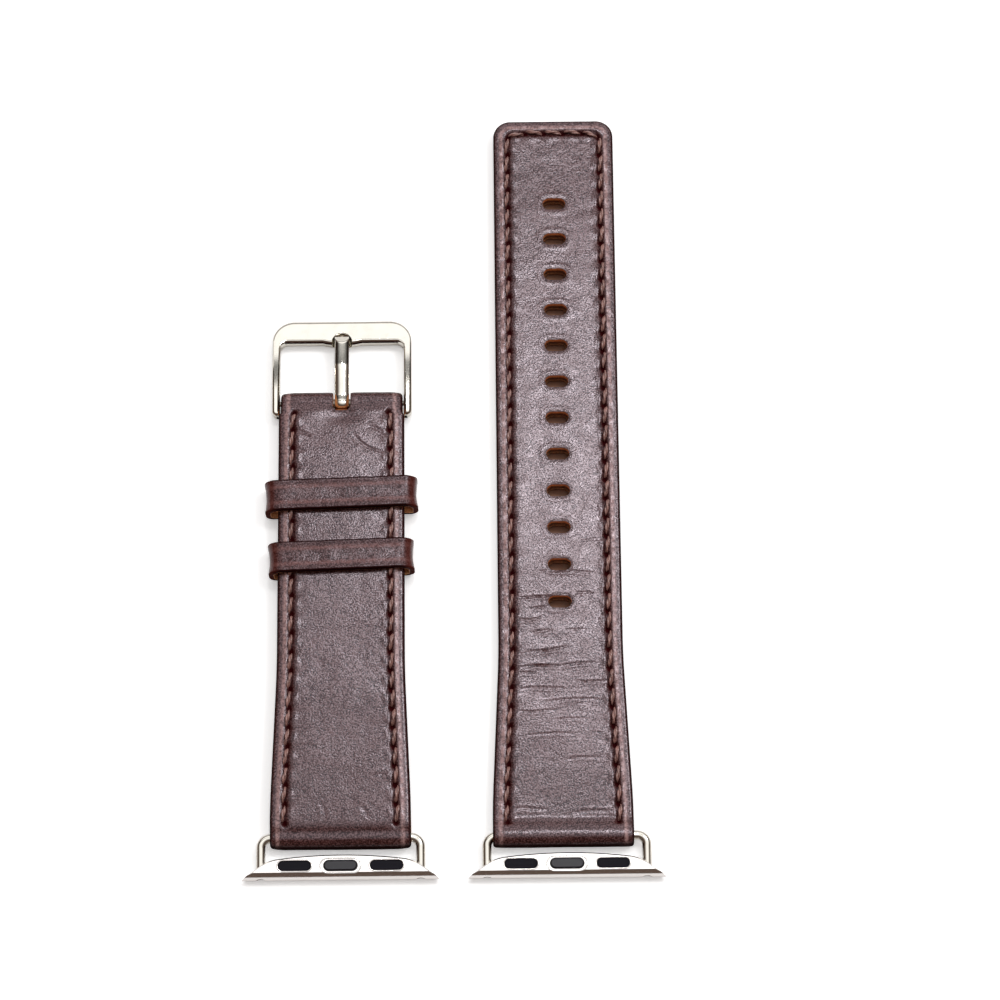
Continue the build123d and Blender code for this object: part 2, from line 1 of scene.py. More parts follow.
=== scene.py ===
"""Looks of a two-piece leather watch strap with slide-in lug adapters, built round its fixed frame.

Lengths are in millimetres in the same frame as the model, and become metres when a mesh is made.
"""

import json
from math import acos, ceil, cos, degrees, hypot, pi, radians, sin, sqrt, tan

import bmesh
import bpy
import numpy as np
from mathutils import Matrix, Vector, kdtree, noise

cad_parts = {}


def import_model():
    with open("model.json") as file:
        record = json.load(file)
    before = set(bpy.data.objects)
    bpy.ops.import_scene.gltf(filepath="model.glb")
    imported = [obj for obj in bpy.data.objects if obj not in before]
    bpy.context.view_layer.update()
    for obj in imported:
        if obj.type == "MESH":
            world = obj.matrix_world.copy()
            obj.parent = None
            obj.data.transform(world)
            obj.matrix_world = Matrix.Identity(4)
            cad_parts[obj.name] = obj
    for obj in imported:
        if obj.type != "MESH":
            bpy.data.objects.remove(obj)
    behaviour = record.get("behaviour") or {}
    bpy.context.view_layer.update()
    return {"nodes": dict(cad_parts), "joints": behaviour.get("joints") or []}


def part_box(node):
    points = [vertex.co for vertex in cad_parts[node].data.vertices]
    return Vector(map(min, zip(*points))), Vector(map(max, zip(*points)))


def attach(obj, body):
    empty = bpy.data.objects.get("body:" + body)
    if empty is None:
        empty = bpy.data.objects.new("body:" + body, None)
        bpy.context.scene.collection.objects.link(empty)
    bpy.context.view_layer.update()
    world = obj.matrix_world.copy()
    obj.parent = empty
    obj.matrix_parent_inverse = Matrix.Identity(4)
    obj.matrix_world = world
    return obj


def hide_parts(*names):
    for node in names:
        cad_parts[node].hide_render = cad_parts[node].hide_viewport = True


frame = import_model()
MM = 0.001


def span(node):
    """Lowest and highest corner of a node, in millimetres."""
    low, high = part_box(node)
    return np.array(low) / MM, np.array(high) / MM


def hinge(name):
    """A joint's place, in millimetres."""
    joint = next(joint for joint in frame["joints"] if joint["name"] == name)
    return [value / MM for value in joint["pos_m"]]


def smooth(share):
    """A share from 0 to 1, eased at both ends."""
    return share * share * (3 - 2 * share)


def hump(away, width):
    """A smooth hump of height 1 that falls off over this width."""
    return np.exp(-((away / width) ** 2))


# Sizes that follow the frame
short_x, hoop_y, hoop_z = hinge("short_lug_hinge")
buckle_y, buckle_z = hinge("buckle_hinge")[1:]
long_low, long_high = span("long_outer_leather")
long_x = (long_low[0] + long_high[0]) / 2
tip_y = long_high[1]
lug_half = (long_high[0] - long_low[0]) / 2
long_floor = span("long_lining")[0][2]
short_floor = span("short_lining")[0][2]
lining_ply = span("long_lining")[1][2] - long_floor
filler_thick = span("long_filler")[1][2] - span("long_filler")[0][2]

# Leather
ply = 1.0
body_thick = lining_ply + filler_thick + ply
bar_clearance = 0.1
hoop_rod = 2 * (hoop_z - bar_clearance - ply)
tube = 2 * (buckle_z - bar_clearance - ply)
bend_radius = 3.0
flap_length = 9.0
short_half = 10.15
long_half = 9.9
fold_half = 9.85
fold_step = 2.6
shoulder = 5.0
short_taper_end = 27.0
long_taper_end = 29.2
taper_ease = 3.0
tip_corner = 2.8
slot_half = 1.42
slot_back = 1.6
slot_corner = 0.8
SLOT_ABOVE = 0.2
SLOT_BELOW = 0.4

# Size holes
hole_count = 12
hole_pitch = 6.2
hole_half_x = 1.95
hole_half_y = 1.075
tip_to_first_hole = 14.86
HOLE_CLOSING = 0.22
GRAIN_CLOSING = 0.07
CLOSING_REACH = 0.8
HOLE_REACH_Y = 2.4
HOLE_REACH_X = 3.4
HOLE_BEAD = 0.03
HOLE_SINK = 0.03

# Stitching
stitch_inset = 2.2
stitch_pitch = 3.13
seam_corner = 1.3
seam_to_bar = 1.9
seam_to_buckle = 2.1
strand_radius = 0.2
strand_apart = 0.15
strand_turns = 0.8
strand_sides = 8
strand_rings = 15
stitch_lean = 0.2
needle_share = 0.09
SLIT_INWARD = 0.13
SLIT_ACROSS = 0.34
SLIT_ALONG = 0.52
SLIT_DEPTH = 0.34
GROOVE_DEPTH = 0.2
GROOVE_WIDTH = 0.42
DIMPLE_DEPTH = 0.08
DIMPLE_WIDTH = 0.95
SEAM_BEAD = 0.04
SEAM_BEAD_AWAY = 0.85
SEAM_BEAD_WIDTH = 0.28
SEAM_STEPS = 24
THREAD_OUTWARD = 0.07
THREAD_RISE = 0.2
THREAD_RISE_SPREAD = 0.05
THREAD_SINK = 0.4


# Curved routes in the YZ plane

ROUTE_STEP = 0.1


class Route:
    """A line of runs and arcs in the YZ plane, with its place and normal at any distance."""

    def __init__(self, start, heading, moves):
        at, angle = np.array(start, float), radians(heading)
        points, angles = [at.copy()], [angle]
        for size, turn in moves:
            turn = radians(turn)
            length = size if turn == 0 else size * abs(turn)
            count = max(2, ceil(length / ROUTE_STEP))
            for _ in range(count):
                bend = turn / count
                chord = length / count
                if bend:
                    chord = 2 * size * sin(abs(bend) / 2)
                at = at + chord * np.array([cos(angle + bend / 2), sin(angle + bend / 2)])
                angle += bend
                points.append(at.copy())
                angles.append(angle)
        self.points = np.array(points)
        self.angles = np.array(angles)
        steps = np.hypot(*np.diff(self.points, axis=0).T)
        self.at = np.concatenate([[0.0], np.cumsum(steps)])
        self.length = self.at[-1]
        self.turn = int(np.argmin(self.points[:, 0])) + 1

    def place(self, s):
        """Y, Z and the outward normal's Y, Z at a distance along the route."""
        y = np.interp(s, self.at, self.points[:, 0])
        z = np.interp(s, self.at, self.points[:, 1])
        angle = np.interp(s, self.at, self.angles)
        return y, z, np.sin(angle), -np.cos(angle)


def bend_run(lift):
    """Length along the strap of the S-bend that lifts a ply by this much."""
    return sqrt(abs(lift) * (4 * bend_radius - abs(lift)))


def s_bend(lift, rising_turn):
    """The two arcs of an S-bend; rising_turn is the sign of the turn that goes up."""
    turn = degrees(acos(1 - abs(lift) / (2 * bend_radius)))
    turn *= rising_turn * (1 if lift > 0 else -1)
    return [(bend_radius, turn), (bend_radius, -turn)]


def loop_sizes(bar, bar_z, floor):
    """Mid-line radius of a loop round a bar, and the lifts of the body and of the flap."""
    loop = bar / 2 + bar_clearance + ply / 2
    body_mid = floor + body_thick - ply / 2
    return loop, bar_z + loop - body_mid, floor + lining_ply + ply / 2 - (bar_z - loop)


def long_route():
    """From the tip, along the body, round the hoop and back under."""
    loop, lift, back = loop_sizes(hoop_rod, hoop_z, long_floor)
    start = (tip_y, long_floor + body_thick - ply / 2)
    moves = [(tip_y - hoop_y - bend_run(lift), 0)]
    moves += s_bend(lift, -1) + [(loop, 180)] + s_bend(back, 1)
    moves += [(flap_length - bend_run(back), 0)]
    return Route(start, 180, moves)


def short_route():
    """From under the body at the buckle, over its bar, along the body, and round the hoop."""
    loop, lift, back = loop_sizes(tube, buckle_z, short_floor)
    hoop_loop, hoop_lift, hoop_back = loop_sizes(hoop_rod, hoop_z, short_floor)
    start = (buckle_y - flap_length, buckle_z - loop + back)
    moves = [(flap_length - bend_run(back), 0)] + s_bend(-back, 1) + [(loop, 180)]
    moves += s_bend(-lift, -1)
    moves += [(buckle_y - hoop_y - bend_run(lift) - bend_run(hoop_lift), 0)]
    moves += s_bend(hoop_lift, -1) + [(hoop_loop, 180)] + s_bend(hoop_back, 1)
    moves += [(flap_length - bend_run(hoop_back), 0)]
    return Route(start, 0, moves)


# Plans: half width of the leather along the strap


def eased(y, stations):
    """Half width at y from (y, half width) stations, with the corners eased."""
    ys, halves = np.array(stations).T
    y = np.asarray(y, float)
    shares = np.linspace(-1, 1, 9)
    return sum(np.interp(y + taper_ease * share, ys, halves) for share in shares) / len(shares)


long_stations = [
    (hoop_y + shoulder, lug_half),
    (hoop_y + long_taper_end, long_half),
]
short_stations = [
    (hoop_y + shoulder, lug_half),
    (hoop_y + short_taper_end, short_half),
]


def long_width(y):
    """Half width of the long half, apart from its tip."""
    return eased(y, long_stations)


def short_width(y):
    """Half width of the short half, which steps in between the buckle's arms."""
    step = smooth(np.clip((y - buckle_y + fold_step) / (fold_step / 4), 0, 1))
    return eased(y, short_stations) - (short_half - fold_half) * step


# Meshes


def make_object(name, verts, faces, values=None, sharp=40):
    """An object from points in millimetres, with smooth faces and float attributes."""
    mesh = bpy.data.meshes.new(name)
    mesh.from_pydata((np.asarray(verts) * MM).tolist(), [], faces)
    for key, numbers in (values or {}).items():
        attribute = mesh.attributes.new(key, "FLOAT", "POINT")
        attribute.data.foreach_set("value", np.asarray(numbers, np.float32))
    mesh.validate()
    work = bmesh.new()
    work.from_mesh(mesh)
    bmesh.ops.recalc_face_normals(work, faces=work.faces)
    work.to_mesh(mesh)
    work.free()
    mesh.polygons.foreach_set("use_smooth", [True] * len(mesh.polygons))
    mesh.set_sharp_from_angle(angle=radians(sharp))
    piece = bpy.data.objects.new(name, mesh)
    bpy.context.scene.collection.objects.link(piece)
    return piece


WALL_SHARES = (0.14, 0.5, 0.86)
ROUNDING_REACH = 0.9
SEED_SHIFT = (17.3, 5.1, 9.7)
FAR = 1e9


def shell(name, top, bottom, gone, values, wall_values, sharp=40):
    """A closed shell between two grids of points; gone marks the cells that are open."""
    rows, cols = top.shape[:2]
    count = rows * cols
    index = np.arange(count).reshape(rows, cols)
    corners = np.stack([index[:-1, :-1], index[1:, :-1], index[1:, 1:], index[:-1, 1:]], -1)
    quads = corners[~gone]
    edges = np.concatenate([quads[:, [k, (k + 1) % 4]] for k in range(4)])
    keys = np.sort(edges, axis=1)
    _, first, times = np.unique(keys, axis=0, return_index=True, return_counts=True)
    rim = edges[first[times == 1]]
    rim_points = np.unique(rim)
    ring_of = {int(point): k for k, point in enumerate(rim_points)}
    flat_top, flat_bottom = top.reshape(-1, 3), bottom.reshape(-1, 3)
    verts = [flat_top, flat_bottom]
    for share in WALL_SHARES:
        verts.append(flat_top[rim_points] * (1 - share) + flat_bottom[rim_points] * share)
    verts = np.concatenate(verts)
    starts = [2 * count + len(rim_points) * k for k in range(len(WALL_SHARES))]
    ladder = [lambda p: p]
    ladder += [lambda p, start=start: start + ring_of[p] for start in starts]
    ladder += [lambda p: count + p]
    walls = []
    for a, b in rim.tolist():
        for upper, lower in zip(ladder, ladder[1:]):
            walls.append((upper(a), lower(a), lower(b), upper(b)))
    faces = np.concatenate([quads, quads[:, ::-1] + count, np.array(walls)])
    used, renamed = np.unique(faces, return_inverse=True)
    faces = renamed.reshape(faces.shape)
    kept = {}
    for key, grid in values.items():
        numbers = np.concatenate([grid[0].ravel(), grid[1].ravel()])
        wall = wall_values.get(key)
        wall = grid[0].ravel()[rim_points] if wall is None else wall.ravel()[rim_points]
        kept[key] = np.concatenate([numbers] + [wall] * len(WALL_SHARES))[used]
    return make_object(name, verts[used], faces.tolist(), kept, sharp)


def ring_faces(count, sides, closed=False):
    """Faces over a stack of rings: capped at both ends, or joined end to end if closed."""
    faces = []
    for ring in range(count if closed else count - 1):
        low, high = ring * sides, (ring + 1) % count * sides
        for k in range(sides):
            ahead = (k + 1) % sides
            faces.append((low + k, low + ahead, high + ahead, high + k))
    if not closed:
        faces += [tuple(range(sides))[::-1], tuple(range((count - 1) * sides, count * sides))]
    return faces


def ring_object(name, rings, sharp, closed=False):
    """An object skinned over a stack of rings of points."""
    faces = ring_faces(*rings.shape[:2], closed)
    return make_object(name, rings.reshape(-1, 3), faces, sharp=sharp)


def graded(stations, step):
    """Values through every station, evenly spaced between neighbours, about a step apart."""
    values = [stations[0]]
    for low, high in zip(stations, stations[1:]):
        count = max(1, round((high - low) / step))
        values += [low + (high - low) * (k + 1) / count for k in range(count)]
    return np.array(values)


def round_in(distance, radius):
    """Drop of a rounded edge at this distance from it."""
    reach = np.clip(radius - distance, 0, radius)
    return radius - np.sqrt(np.maximum(radius**2 - reach**2, 0))


def onto_round(x, y, half_x, half_y, corner):
    """Shift that rounds the corners of a box-shaped grid hole, fading out around it."""
    level = np.maximum(np.abs(x) / half_x, np.abs(y) / half_y)
    level = np.maximum(level, 1e-6)
    bx, by = np.abs(x) / level, np.abs(y) / level
    along = np.where(by >= half_y - 1e-9, bx - (half_x - corner), corner + half_y - by)
    share = np.clip(along / (2 * corner), 0, 1)
    gx = half_x - corner + corner * np.sin(share * pi / 2)
    gy = half_y - corner + corner * np.cos(share * pi / 2)
    near = (bx > half_x - corner) & (by > half_y - corner)
    fade = smooth(np.clip(1 - (level - 1) * min(half_x, half_y) / ROUNDING_REACH, 0, 1)) * near
    return (gx - bx) * fade * np.sign(x), (gy - by) * fade * np.sign(y)


def fbm(points, scale, seed, octaves):
    """Smooth noise on a grid of points, in about -1 to 1; scale is the size of its main lumps."""
    shift = seed * Vector(SEED_SHIFT)
    numbers = [
        noise.fractal(Vector(point) / scale + shift, 1.0, 2.0, octaves)
        for point in points.reshape(-1, 3)
    ]
    return np.array(numbers).reshape(points.shape[:-1])


def lumps(points, size_and_height, seed, octaves=2):
    """Soft lumps of a size and height."""
    size, height = size_and_height
    return height * fbm(points, size, seed, octaves)


# Seams: where the stitches run, as (distance along the route, x) points


def resample(points, count):
    """Points evenly spaced along a line of points."""
    points = np.array(points, float)
    lengths = np.concatenate([[0], np.cumsum(np.hypot(*np.diff(points, axis=0).T))])
    places = np.linspace(0, lengths[-1], count + 1)
    return np.stack([np.interp(places, lengths, points[:, k]) for k in (0, 1)], 1), lengths[-1]


def side_line(route, width, centre_x, side, low_s, high_s):
    """One side of a seam, inset from the edge of the leather."""
    s = np.linspace(low_s, high_s, 160)
    y = route.place(s)[0]
    return np.stack([s, centre_x + side * (width(y) - stitch_inset)], 1)


def long_seam(route):
    """Up one side, round the tip and down the other."""
    end = np.interp(-(hoop_y + seam_to_bar), -route.points[: route.turn, 0], route.at[: route.turn])
    left = side_line(route, long_width, long_x, -1, end, stitch_inset + seam_corner)
    right = side_line(route, long_width, long_x, 1, stitch_inset + seam_corner, end)
    turns = np.linspace(0, pi / 2, 9)[1:-1]
    x_in = long_half - stitch_inset - seam_corner
    s_in = stitch_inset + seam_corner
    first = [(s_in - seam_corner * sin(t), long_x - x_in - seam_corner * cos(t)) for t in turns]
    second = [(s_in - seam_corner * cos(t), long_x + x_in + seam_corner * sin(t)) for t in turns]
    across = [(stitch_inset, long_x - x_in), (stitch_inset, long_x + x_in)]
    return [np.array([*left, *first, *across, *second, *right])]


def short_seam(route, low_s, high_s):
    """The two sides of the short half."""
    left = side_line(route, short_width, short_x, -1, low_s, high_s)
    right = side_line(route, short_width, short_x, 1, low_s, high_s)
    return [left[::-1], right]


def long_under_seam():
    """The long half's seam on the lining, in (y, x) points."""
    route = long_route()
    lines = long_seam(route)
    return Seam([np.stack([route.place(line[:, 0])[0], line[:, 1]], 1) for line in lines])


def short_under_seam():
    """The short half's two seams on the lining, in (y, x) points."""
    low_y, high_y = (corner[1] for corner in span("short_lining"))
    ys = np.linspace(low_y + 1, high_y - 1, 120)
    out = short_width(ys) - stitch_inset
    return Seam([np.stack([ys, short_x + side * out], 1) for side in (-1, 1)])


class Seam:
    """Needle holes along a seam, and how far any point is from the seam and from a hole."""

    def __init__(self, lines):
        self.runs = []
        dense, arcs = [], []
        for line in lines:
            _, length = resample(line, 2)
            count = round(length / stitch_pitch)
            holes, _ = resample(line, count)
            fine, _ = resample(line, count * SEAM_STEPS)
            ahead = np.gradient(fine, axis=0)
            ahead /= np.linalg.norm(ahead, axis=1)[:, None]
            fine = fine - SLIT_INWARD * np.stack([-ahead[:, 1], ahead[:, 0]], 1)
            self.runs.append(holes)
            dense += fine.tolist()
            arcs += [k / SEAM_STEPS for k in range(len(fine))]
        self.arcs = np.array(arcs)
        self.tree = kdtree.KDTree(len(dense))
        for k, (s, x) in enumerate(dense):
            self.tree.insert((s, x, 0), k)
        self.tree.balance()

    def near(self, s, x):
        """Distance from the seam, and the place along it in stitches."""
        found = [self.tree.find((a, b, 0)) for a, b in zip(s.ravel(), x.ravel())]
        away = np.array([hit[2] for hit in found]).reshape(s.shape)
        arc = self.arcs[[hit[1] for hit in found]].reshape(s.shape)
        return away, arc


def slit(away, arc):
    """Distance from the nearest needle slit, which is longer along the seam than across it."""
    phase = arc - np.round(arc)
    return np.hypot(away / SLIT_ACROSS, phase * stitch_pitch / SLIT_ALONG)


def pulled_in(away, arc):
    """Surface shift round a seam: its groove, the needle slits and the swell between them."""
    phase = arc - np.round(arc)
    groove = GROOVE_DEPTH * hump(away, GROOVE_WIDTH)
    hole = SLIT_DEPTH * hump(slit(away, arc), 1)
    dimple = DIMPLE_DEPTH * hump(np.hypot(away, phase * stitch_pitch), DIMPLE_WIDTH)
    bead = SEAM_BEAD * hump(away - SEAM_BEAD_AWAY, SEAM_BEAD_WIDTH)
    return bead * (1 - 0.8 * np.cos(2 * pi * arc)) - groove - hole - dimple


# Creases on the grain side, as (x from the centre, y from the hoop, and both again, then bow,
# depth and width)
long_creases = [
    (-3.6, 42.8, 5.6, 42.5, 0.35, 0.1, 0.12),
    (1.2, 39.1, 5.6, 39.1, 0.25, 0.07, 0.12),
    (-7.6, 38.4, 2.2, 38.5, 0.3, 0.09, 0.12),
    (-7.4, 35.1, -2.6, 35.4, -0.35, 0.09, 0.12),
    (-5.0, 36.6, -1.9, 37.0, 0.1, 0.06, 0.14),
    (-4.6, 32.7, -1.2, 33.1, 0.15, 0.08, 0.14),
    (0.6, 33.1, 4.3, 33.2, 0.1, 0.05, 0.12),
    (-5.9, 29.7, 1.4, 30.6, -0.3, 0.09, 0.14),
    (-7.4, 29.1, -3.4, 29.4, 0.15, 0.06, 0.12),
    (-6.6, 27.0, -0.2, 27.2, 0.3, 0.1, 0.13),
    (-0.6, 27.1, 5.4, 27.7, 0.25, 0.08, 0.13),
    (-7.4, 26.1, -3.9, 26.1, 0.1, 0.07, 0.12),
    (2.1, 24.8, 8.0, 24.9, -0.2, 0.09, 0.11),
    (-6.8, 23.5, 0.6, 23.5, 0.25, 0.08, 0.12),
    (-2.5, 21.4, 6.6, 21.7, 0.3, 0.06, 0.12),
    (-7.7, 20.0, -1.0, 20.2, -0.25, 0.07, 0.12),
    (-1.4, 18.4, 4.2, 18.6, 0.2, 0.05, 0.12),
    (-5.4, 16.0, 2.3, 16.2, 0.2, 0.05, 0.12),
    (3.0, 47.8, 7.4, 48.2, 0.15, 0.05, 0.11),
    (0.2, 12.0, 6.0, 12.3, 0.2, 0.04, 0.14),
    (-8.6, 4.2, -2.6, 4.0, 0.15, 0.06, 0.17),
    (1.4, 3.5, 8.2, 3.7, 0.15, 0.05, 0.17),
]
short_creases = [
    (1.9, 66.2, 6.6, 63.0, -0.75, 0.13, 0.13),
    (4.3, 67.3, 7.4, 65.5, 0.35, 0.09, 0.2),
    (-7.6, 66.6, -5.2, 65.8, 0.2, 0.08, 0.2),
    (-7.5, 62.8, -5.9, 63.4, 0.15, 0.06, 0.18),
    (-2.9, 5.1, -2.4, 2.1, 0.2, 0.07, 0.2),
    (3.1, 4.8, 4.3, 2.7, 0.15, 0.06, 0.2),
    (4.8, 9.2, 8.0, 9.8, 0.2, 0.05, 0.18),
    (-7.5, 14.0, -4.0, 14.4, 0.2, 0.03, 0.2),
]
CREASE_POINTS = 14
CREASE_WOBBLE = 0.14


def creased(x, y, creases, seed):
    """Surface shift of a set of creases, with x counted from the half's centre line."""
    shift = np.zeros_like(x)
    shares = np.linspace(0, 1, CREASE_POINTS)
    for number, (x0, y0, x1, y1, bow, depth, width) in enumerate(creases):
        line = np.array([x0, hoop_y + y0]) + np.outer(shares, (x1 - x0, y1 - y0))
        side = np.array([y0 - y1, x1 - x0]) / hypot(x1 - x0, y1 - y0)
        wobble = [
            CREASE_WOBBLE * noise.noise(Vector((share * 6, number, seed))) for share in shares
        ]
        line += np.outer(bow * np.sin(pi * shares) + wobble, side)
        reach = 6 * width
        low, high = line.min(0) - reach, line.max(0) + reach
        near = (x > low[0]) & (x < high[0]) & (y > low[1]) & (y < high[1])
        px, py = x[near], y[near]
        best = np.full(px.shape, FAR)
        where = np.zeros(px.shape)
        for k in range(CREASE_POINTS - 1):
            ax, ay = line[k]
            dx, dy = line[k + 1] - line[k]
            t = np.clip(((px - ax) * dx + (py - ay) * dy) / (dx * dx + dy * dy), 0, 1)
            away = np.hypot(px - ax - t * dx, py - ay - t * dy)
            closer = away < best
            best[closer] = away[closer]
            where[closer] = (k + t[closer]) / (CREASE_POINTS - 1)
        taper = np.sin(pi * np.clip(where, 0.02, 0.98)) ** 0.6
        valley = -hump(best, width) + 0.3 * hump(best - 2.6 * width, 1.4 * width)
        shift[near] += taper * depth * valley
    return shift


# The outer leather of each half

EDGE_ROUND = 0.5
EDGE_ANGLES = (90, 68, 46, 24)
EDGE_BAND = 2.8
BAND_STEP = 0.16
CENTRE_STEP = 0.3
ROW_STEP = 0.2
TIP_ROW_STEP = 0.12
LINING_STEP = 0.25
CORE_STEP = 0.4
SOLE_ROUND = 0.15
# share of painted shade round the size holes and the slot
RIM_SHADE_SHARE = 0.35
UPPER_SIDE = 2.0
# Size and height of the grain side's lumps, and of the lining's
BROAD_LUMPS = (9.0, 0.05)
SMALL_LUMPS = (1.6, 0.012)
LINING_LUMPS = (6.0, 0.02)
RAGGED_LUMPS = (0.9, 0.03)
LINING_ROUND = 0.4
# Noise seed and border drop of each half's grain side
LONG_FINISH = (5, 0.1)
SHORT_FINISH = (11, 0.26)


def edge_insets():
    """How far in each of the lines is that follow a rounded edge."""
    return [EDGE_ROUND * (1 - sin(radians(angle))) for angle in EDGE_ANGLES]


def column_shares(hole_half, step_band, step_centre):
    """How each column goes with the width: (share of the width, millimetres from it)."""
    band = edge_insets() + graded([EDGE_ROUND, EDGE_BAND], step_band).tolist()
    outer = [(1.0, -inset) for inset in band]
    reference = long_half - EDGE_BAND
    fill = graded([0, hole_half, reference], step_centre)[1:-1]
    inner = []
    for x in fill[::-1]:
        share = max(0.0, (x - hole_half) / (reference - hole_half))
        inner.append((share, x - share * (reference + EDGE_BAND)))
    right = outer + inner
    middle = [(0.0, 0.0)]
    return [(-share, -offset) for share, offset in right] + middle + right[::-1]


def plan_grid(rows, shares, half_widths, centre_x):
    """Grids of distance and x for rows of given half width."""
    share, offset = np.array(shares).T
    x = centre_x + np.outer(half_widths, share) + offset[None, :]
    s = np.repeat(rows[:, None], len(share), axis=1)
    return s, x


def box_gone(s, x, low_s, high_s, low_x, high_x):
    """Cells of a grid whose middle lies in a box."""
    mid_s = (s[:-1, :-1] + s[1:, 1:]) / 2
    mid_x = (x[:-1, :-1] + x[1:, 1:]) / 2
    return (mid_s > low_s) & (mid_s < high_s) & (mid_x > low_x) & (mid_x < high_x)


def tip_distance(s, x, half):
    """Distance from the outline of the long half, near its tip and sides."""
    across = np.abs(x - long_x)
    inside = np.minimum(half - across, s)
    corner = (s < tip_corner) & (across > half - tip_corner)
    rounded = tip_corner - np.hypot(across - (half - tip_corner), tip_corner - s)
    return np.where(corner, rounded, inside)


def surface(route, s, x, shift):
    """Points of a ply's face, shifted out from the route along its normal."""
    y, z, ny, nz = route.place(s)
    return np.stack([x, y + ny * shift, z + nz * shift], -1)


def hole_places():
    """Y of the centre of every size hole."""
    return [tip_y - tip_to_first_hole - number * hole_pitch for number in range(hole_count)]


def hole_stations(places):
    """The lines beside every size hole."""
    return [place + side * hole_half_y for place in places for side in (-1, 1)]


def punched(s, x, places, closing):
    """Open the size holes in a grid, with its lines rounded onto them and drawn in."""
    gone = np.zeros((s.shape[0] - 1, s.shape[1] - 1), bool)
    for place in places:
        low_s, high_s = place - hole_half_y, place + hole_half_y
        gone |= box_gone(s, x, low_s, high_s, long_x - hole_half_x, long_x + hole_half_x)
    for place in places:
        near = (np.abs(s - place) < HOLE_REACH_Y) & (np.abs(x - long_x) < HOLE_REACH_X)
        out_s, out_x = s[near] - place, x[near] - long_x
        dx, ds = onto_round(out_x, out_s, hole_half_x, hole_half_y, hole_half_y)
        out_s, out_x = out_s + ds, out_x + dx
        away = np.hypot(np.maximum(np.abs(out_x) - (hole_half_x - hole_half_y), 0), out_s)
        pull = closing * np.clip(1 - (away - hole_half_y) / CLOSING_REACH, 0, 1) / hole_half_y
        s[near] = place + out_s * (1 - pull)
        x[near] = long_x + out_x * (1 - pull * hole_half_y / hole_half_x)
    return gone


def hole_distance(s, x, places):
    """Distance outside the nearest size hole."""
    out_x = np.maximum(np.abs(x - long_x) - (hole_half_x - hole_half_y), 0)
    best = np.full(s.shape, FAR)
    for place in places:
        best = np.minimum(best, np.hypot(out_x, s - place) - hole_half_y)
    return best


def long_tip_half(s, y):
    """Half width by row, drawn in round the tip's corners."""
    half = long_width(y)
    reach = np.clip(tip_corner - s, 0, tip_corner)
    return half - (tip_corner - np.sqrt(tip_corner**2 - reach**2))


def grain_sheet(name, route, s, x, gone, edge, seam, rim, marks, finish):
    """A half's grain leather over its grid; marks is the surface shift of creases and openings."""
    away, arc = seam.near(s, x)
    shift = pulled_in(away, arc) + marks
    shift += finish_shift(surface(route, s, x, ply / 2), edge, *finish)
    top = surface(route, s, x, ply / 2 + shift)
    bottom = surface(route, s, x, 0.5 * round_in(edge, SOLE_ROUND) - ply / 2)
    values = leather_values(edge, away, arc, rim)
    values["fold"] = turned_down(route, s)
    return shell(name, top, bottom, gone, values, wall_values(rim < 0.5, s.shape))


def long_outer():
    """The long half's grain leather, from its tip round the hoop to the end of the flap."""
    route = long_route()
    along = [tip_y - y for y in hole_places()]
    stations = [EDGE_ROUND, tip_corner, *hole_stations(along), route.length]
    rows = np.array(edge_insets() + graded(stations, ROW_STEP).tolist())
    shares = column_shares(hole_half_x, BAND_STEP, CENTRE_STEP)
    s, x = plan_grid(rows, shares, long_tip_half(rows, route.place(rows)[0]), long_x)
    gone = punched(s, x, along, GRAIN_CLOSING)
    half = long_width(route.place(s)[0])
    edge = np.minimum(tip_distance(s, x, half), route.length - s)
    rim = hole_distance(s, x, along)
    marks = creased(x - long_x, surface(route, s, x, ply / 2)[..., 1], long_creases, 3)
    marks += HOLE_BEAD * hump(rim - 0.55, 0.3) - HOLE_SINK * hump(rim, 0.12)
    seam = Seam(long_seam(route))
    piece = grain_sheet("long_grain", route, s, x, gone, edge, seam, rim, marks, LONG_FINISH)
    return piece, seam, route


def finish_shift(points, edge, seed, border_drop):
    """Rounded edge, sloping border and slight unevenness of the grain side."""
    border = np.clip((stitch_inset - edge) / stitch_inset, 0, 1)
    shift = -round_in(edge, EDGE_ROUND) - border_drop * border**1.6
    shift += lumps(points, BROAD_LUMPS, seed)
    return shift + lumps(points, SMALL_LUMPS, seed + 1)


def leather_values(edge, away, arc, rim):
    """Attributes that the leather's material reads, for the two faces."""
    zero = np.zeros_like(edge)
    # groove: share of painted shade in the seam's groove and needle slits
    groove = 0.55 * hump(away, 0.4) + np.exp(-((slit(away, arc) / 1.15) ** 4))
    return {
        "border": (np.clip(edge, 0, 20), zero + 5),
        "groove": (np.clip(groove, 0, 1), zero),
        "rim": (RIM_SHADE_SHARE * hump(np.clip(rim, 0, 9), 0.08), zero),
        "raw": (zero, zero + 1),
    }


def turned_down(route, s):
    """How far the grain side has turned from facing up round a bar: the share of painted shade
    there.
    """
    share = np.clip((0.78 - route.place(s)[3]) / 0.4, 0, 1)
    return 0.9 * smooth(share), np.zeros_like(s)


def wall_values(at_opening, shape):
    """The same attributes for the walls: raw leather in an opening, with painted shade at its rim.
    """
    zero = np.zeros(shape)
    return {"border": zero, "groove": zero, "rim": RIM_SHADE_SHARE * at_opening, "raw": 1.0 * at_opening}


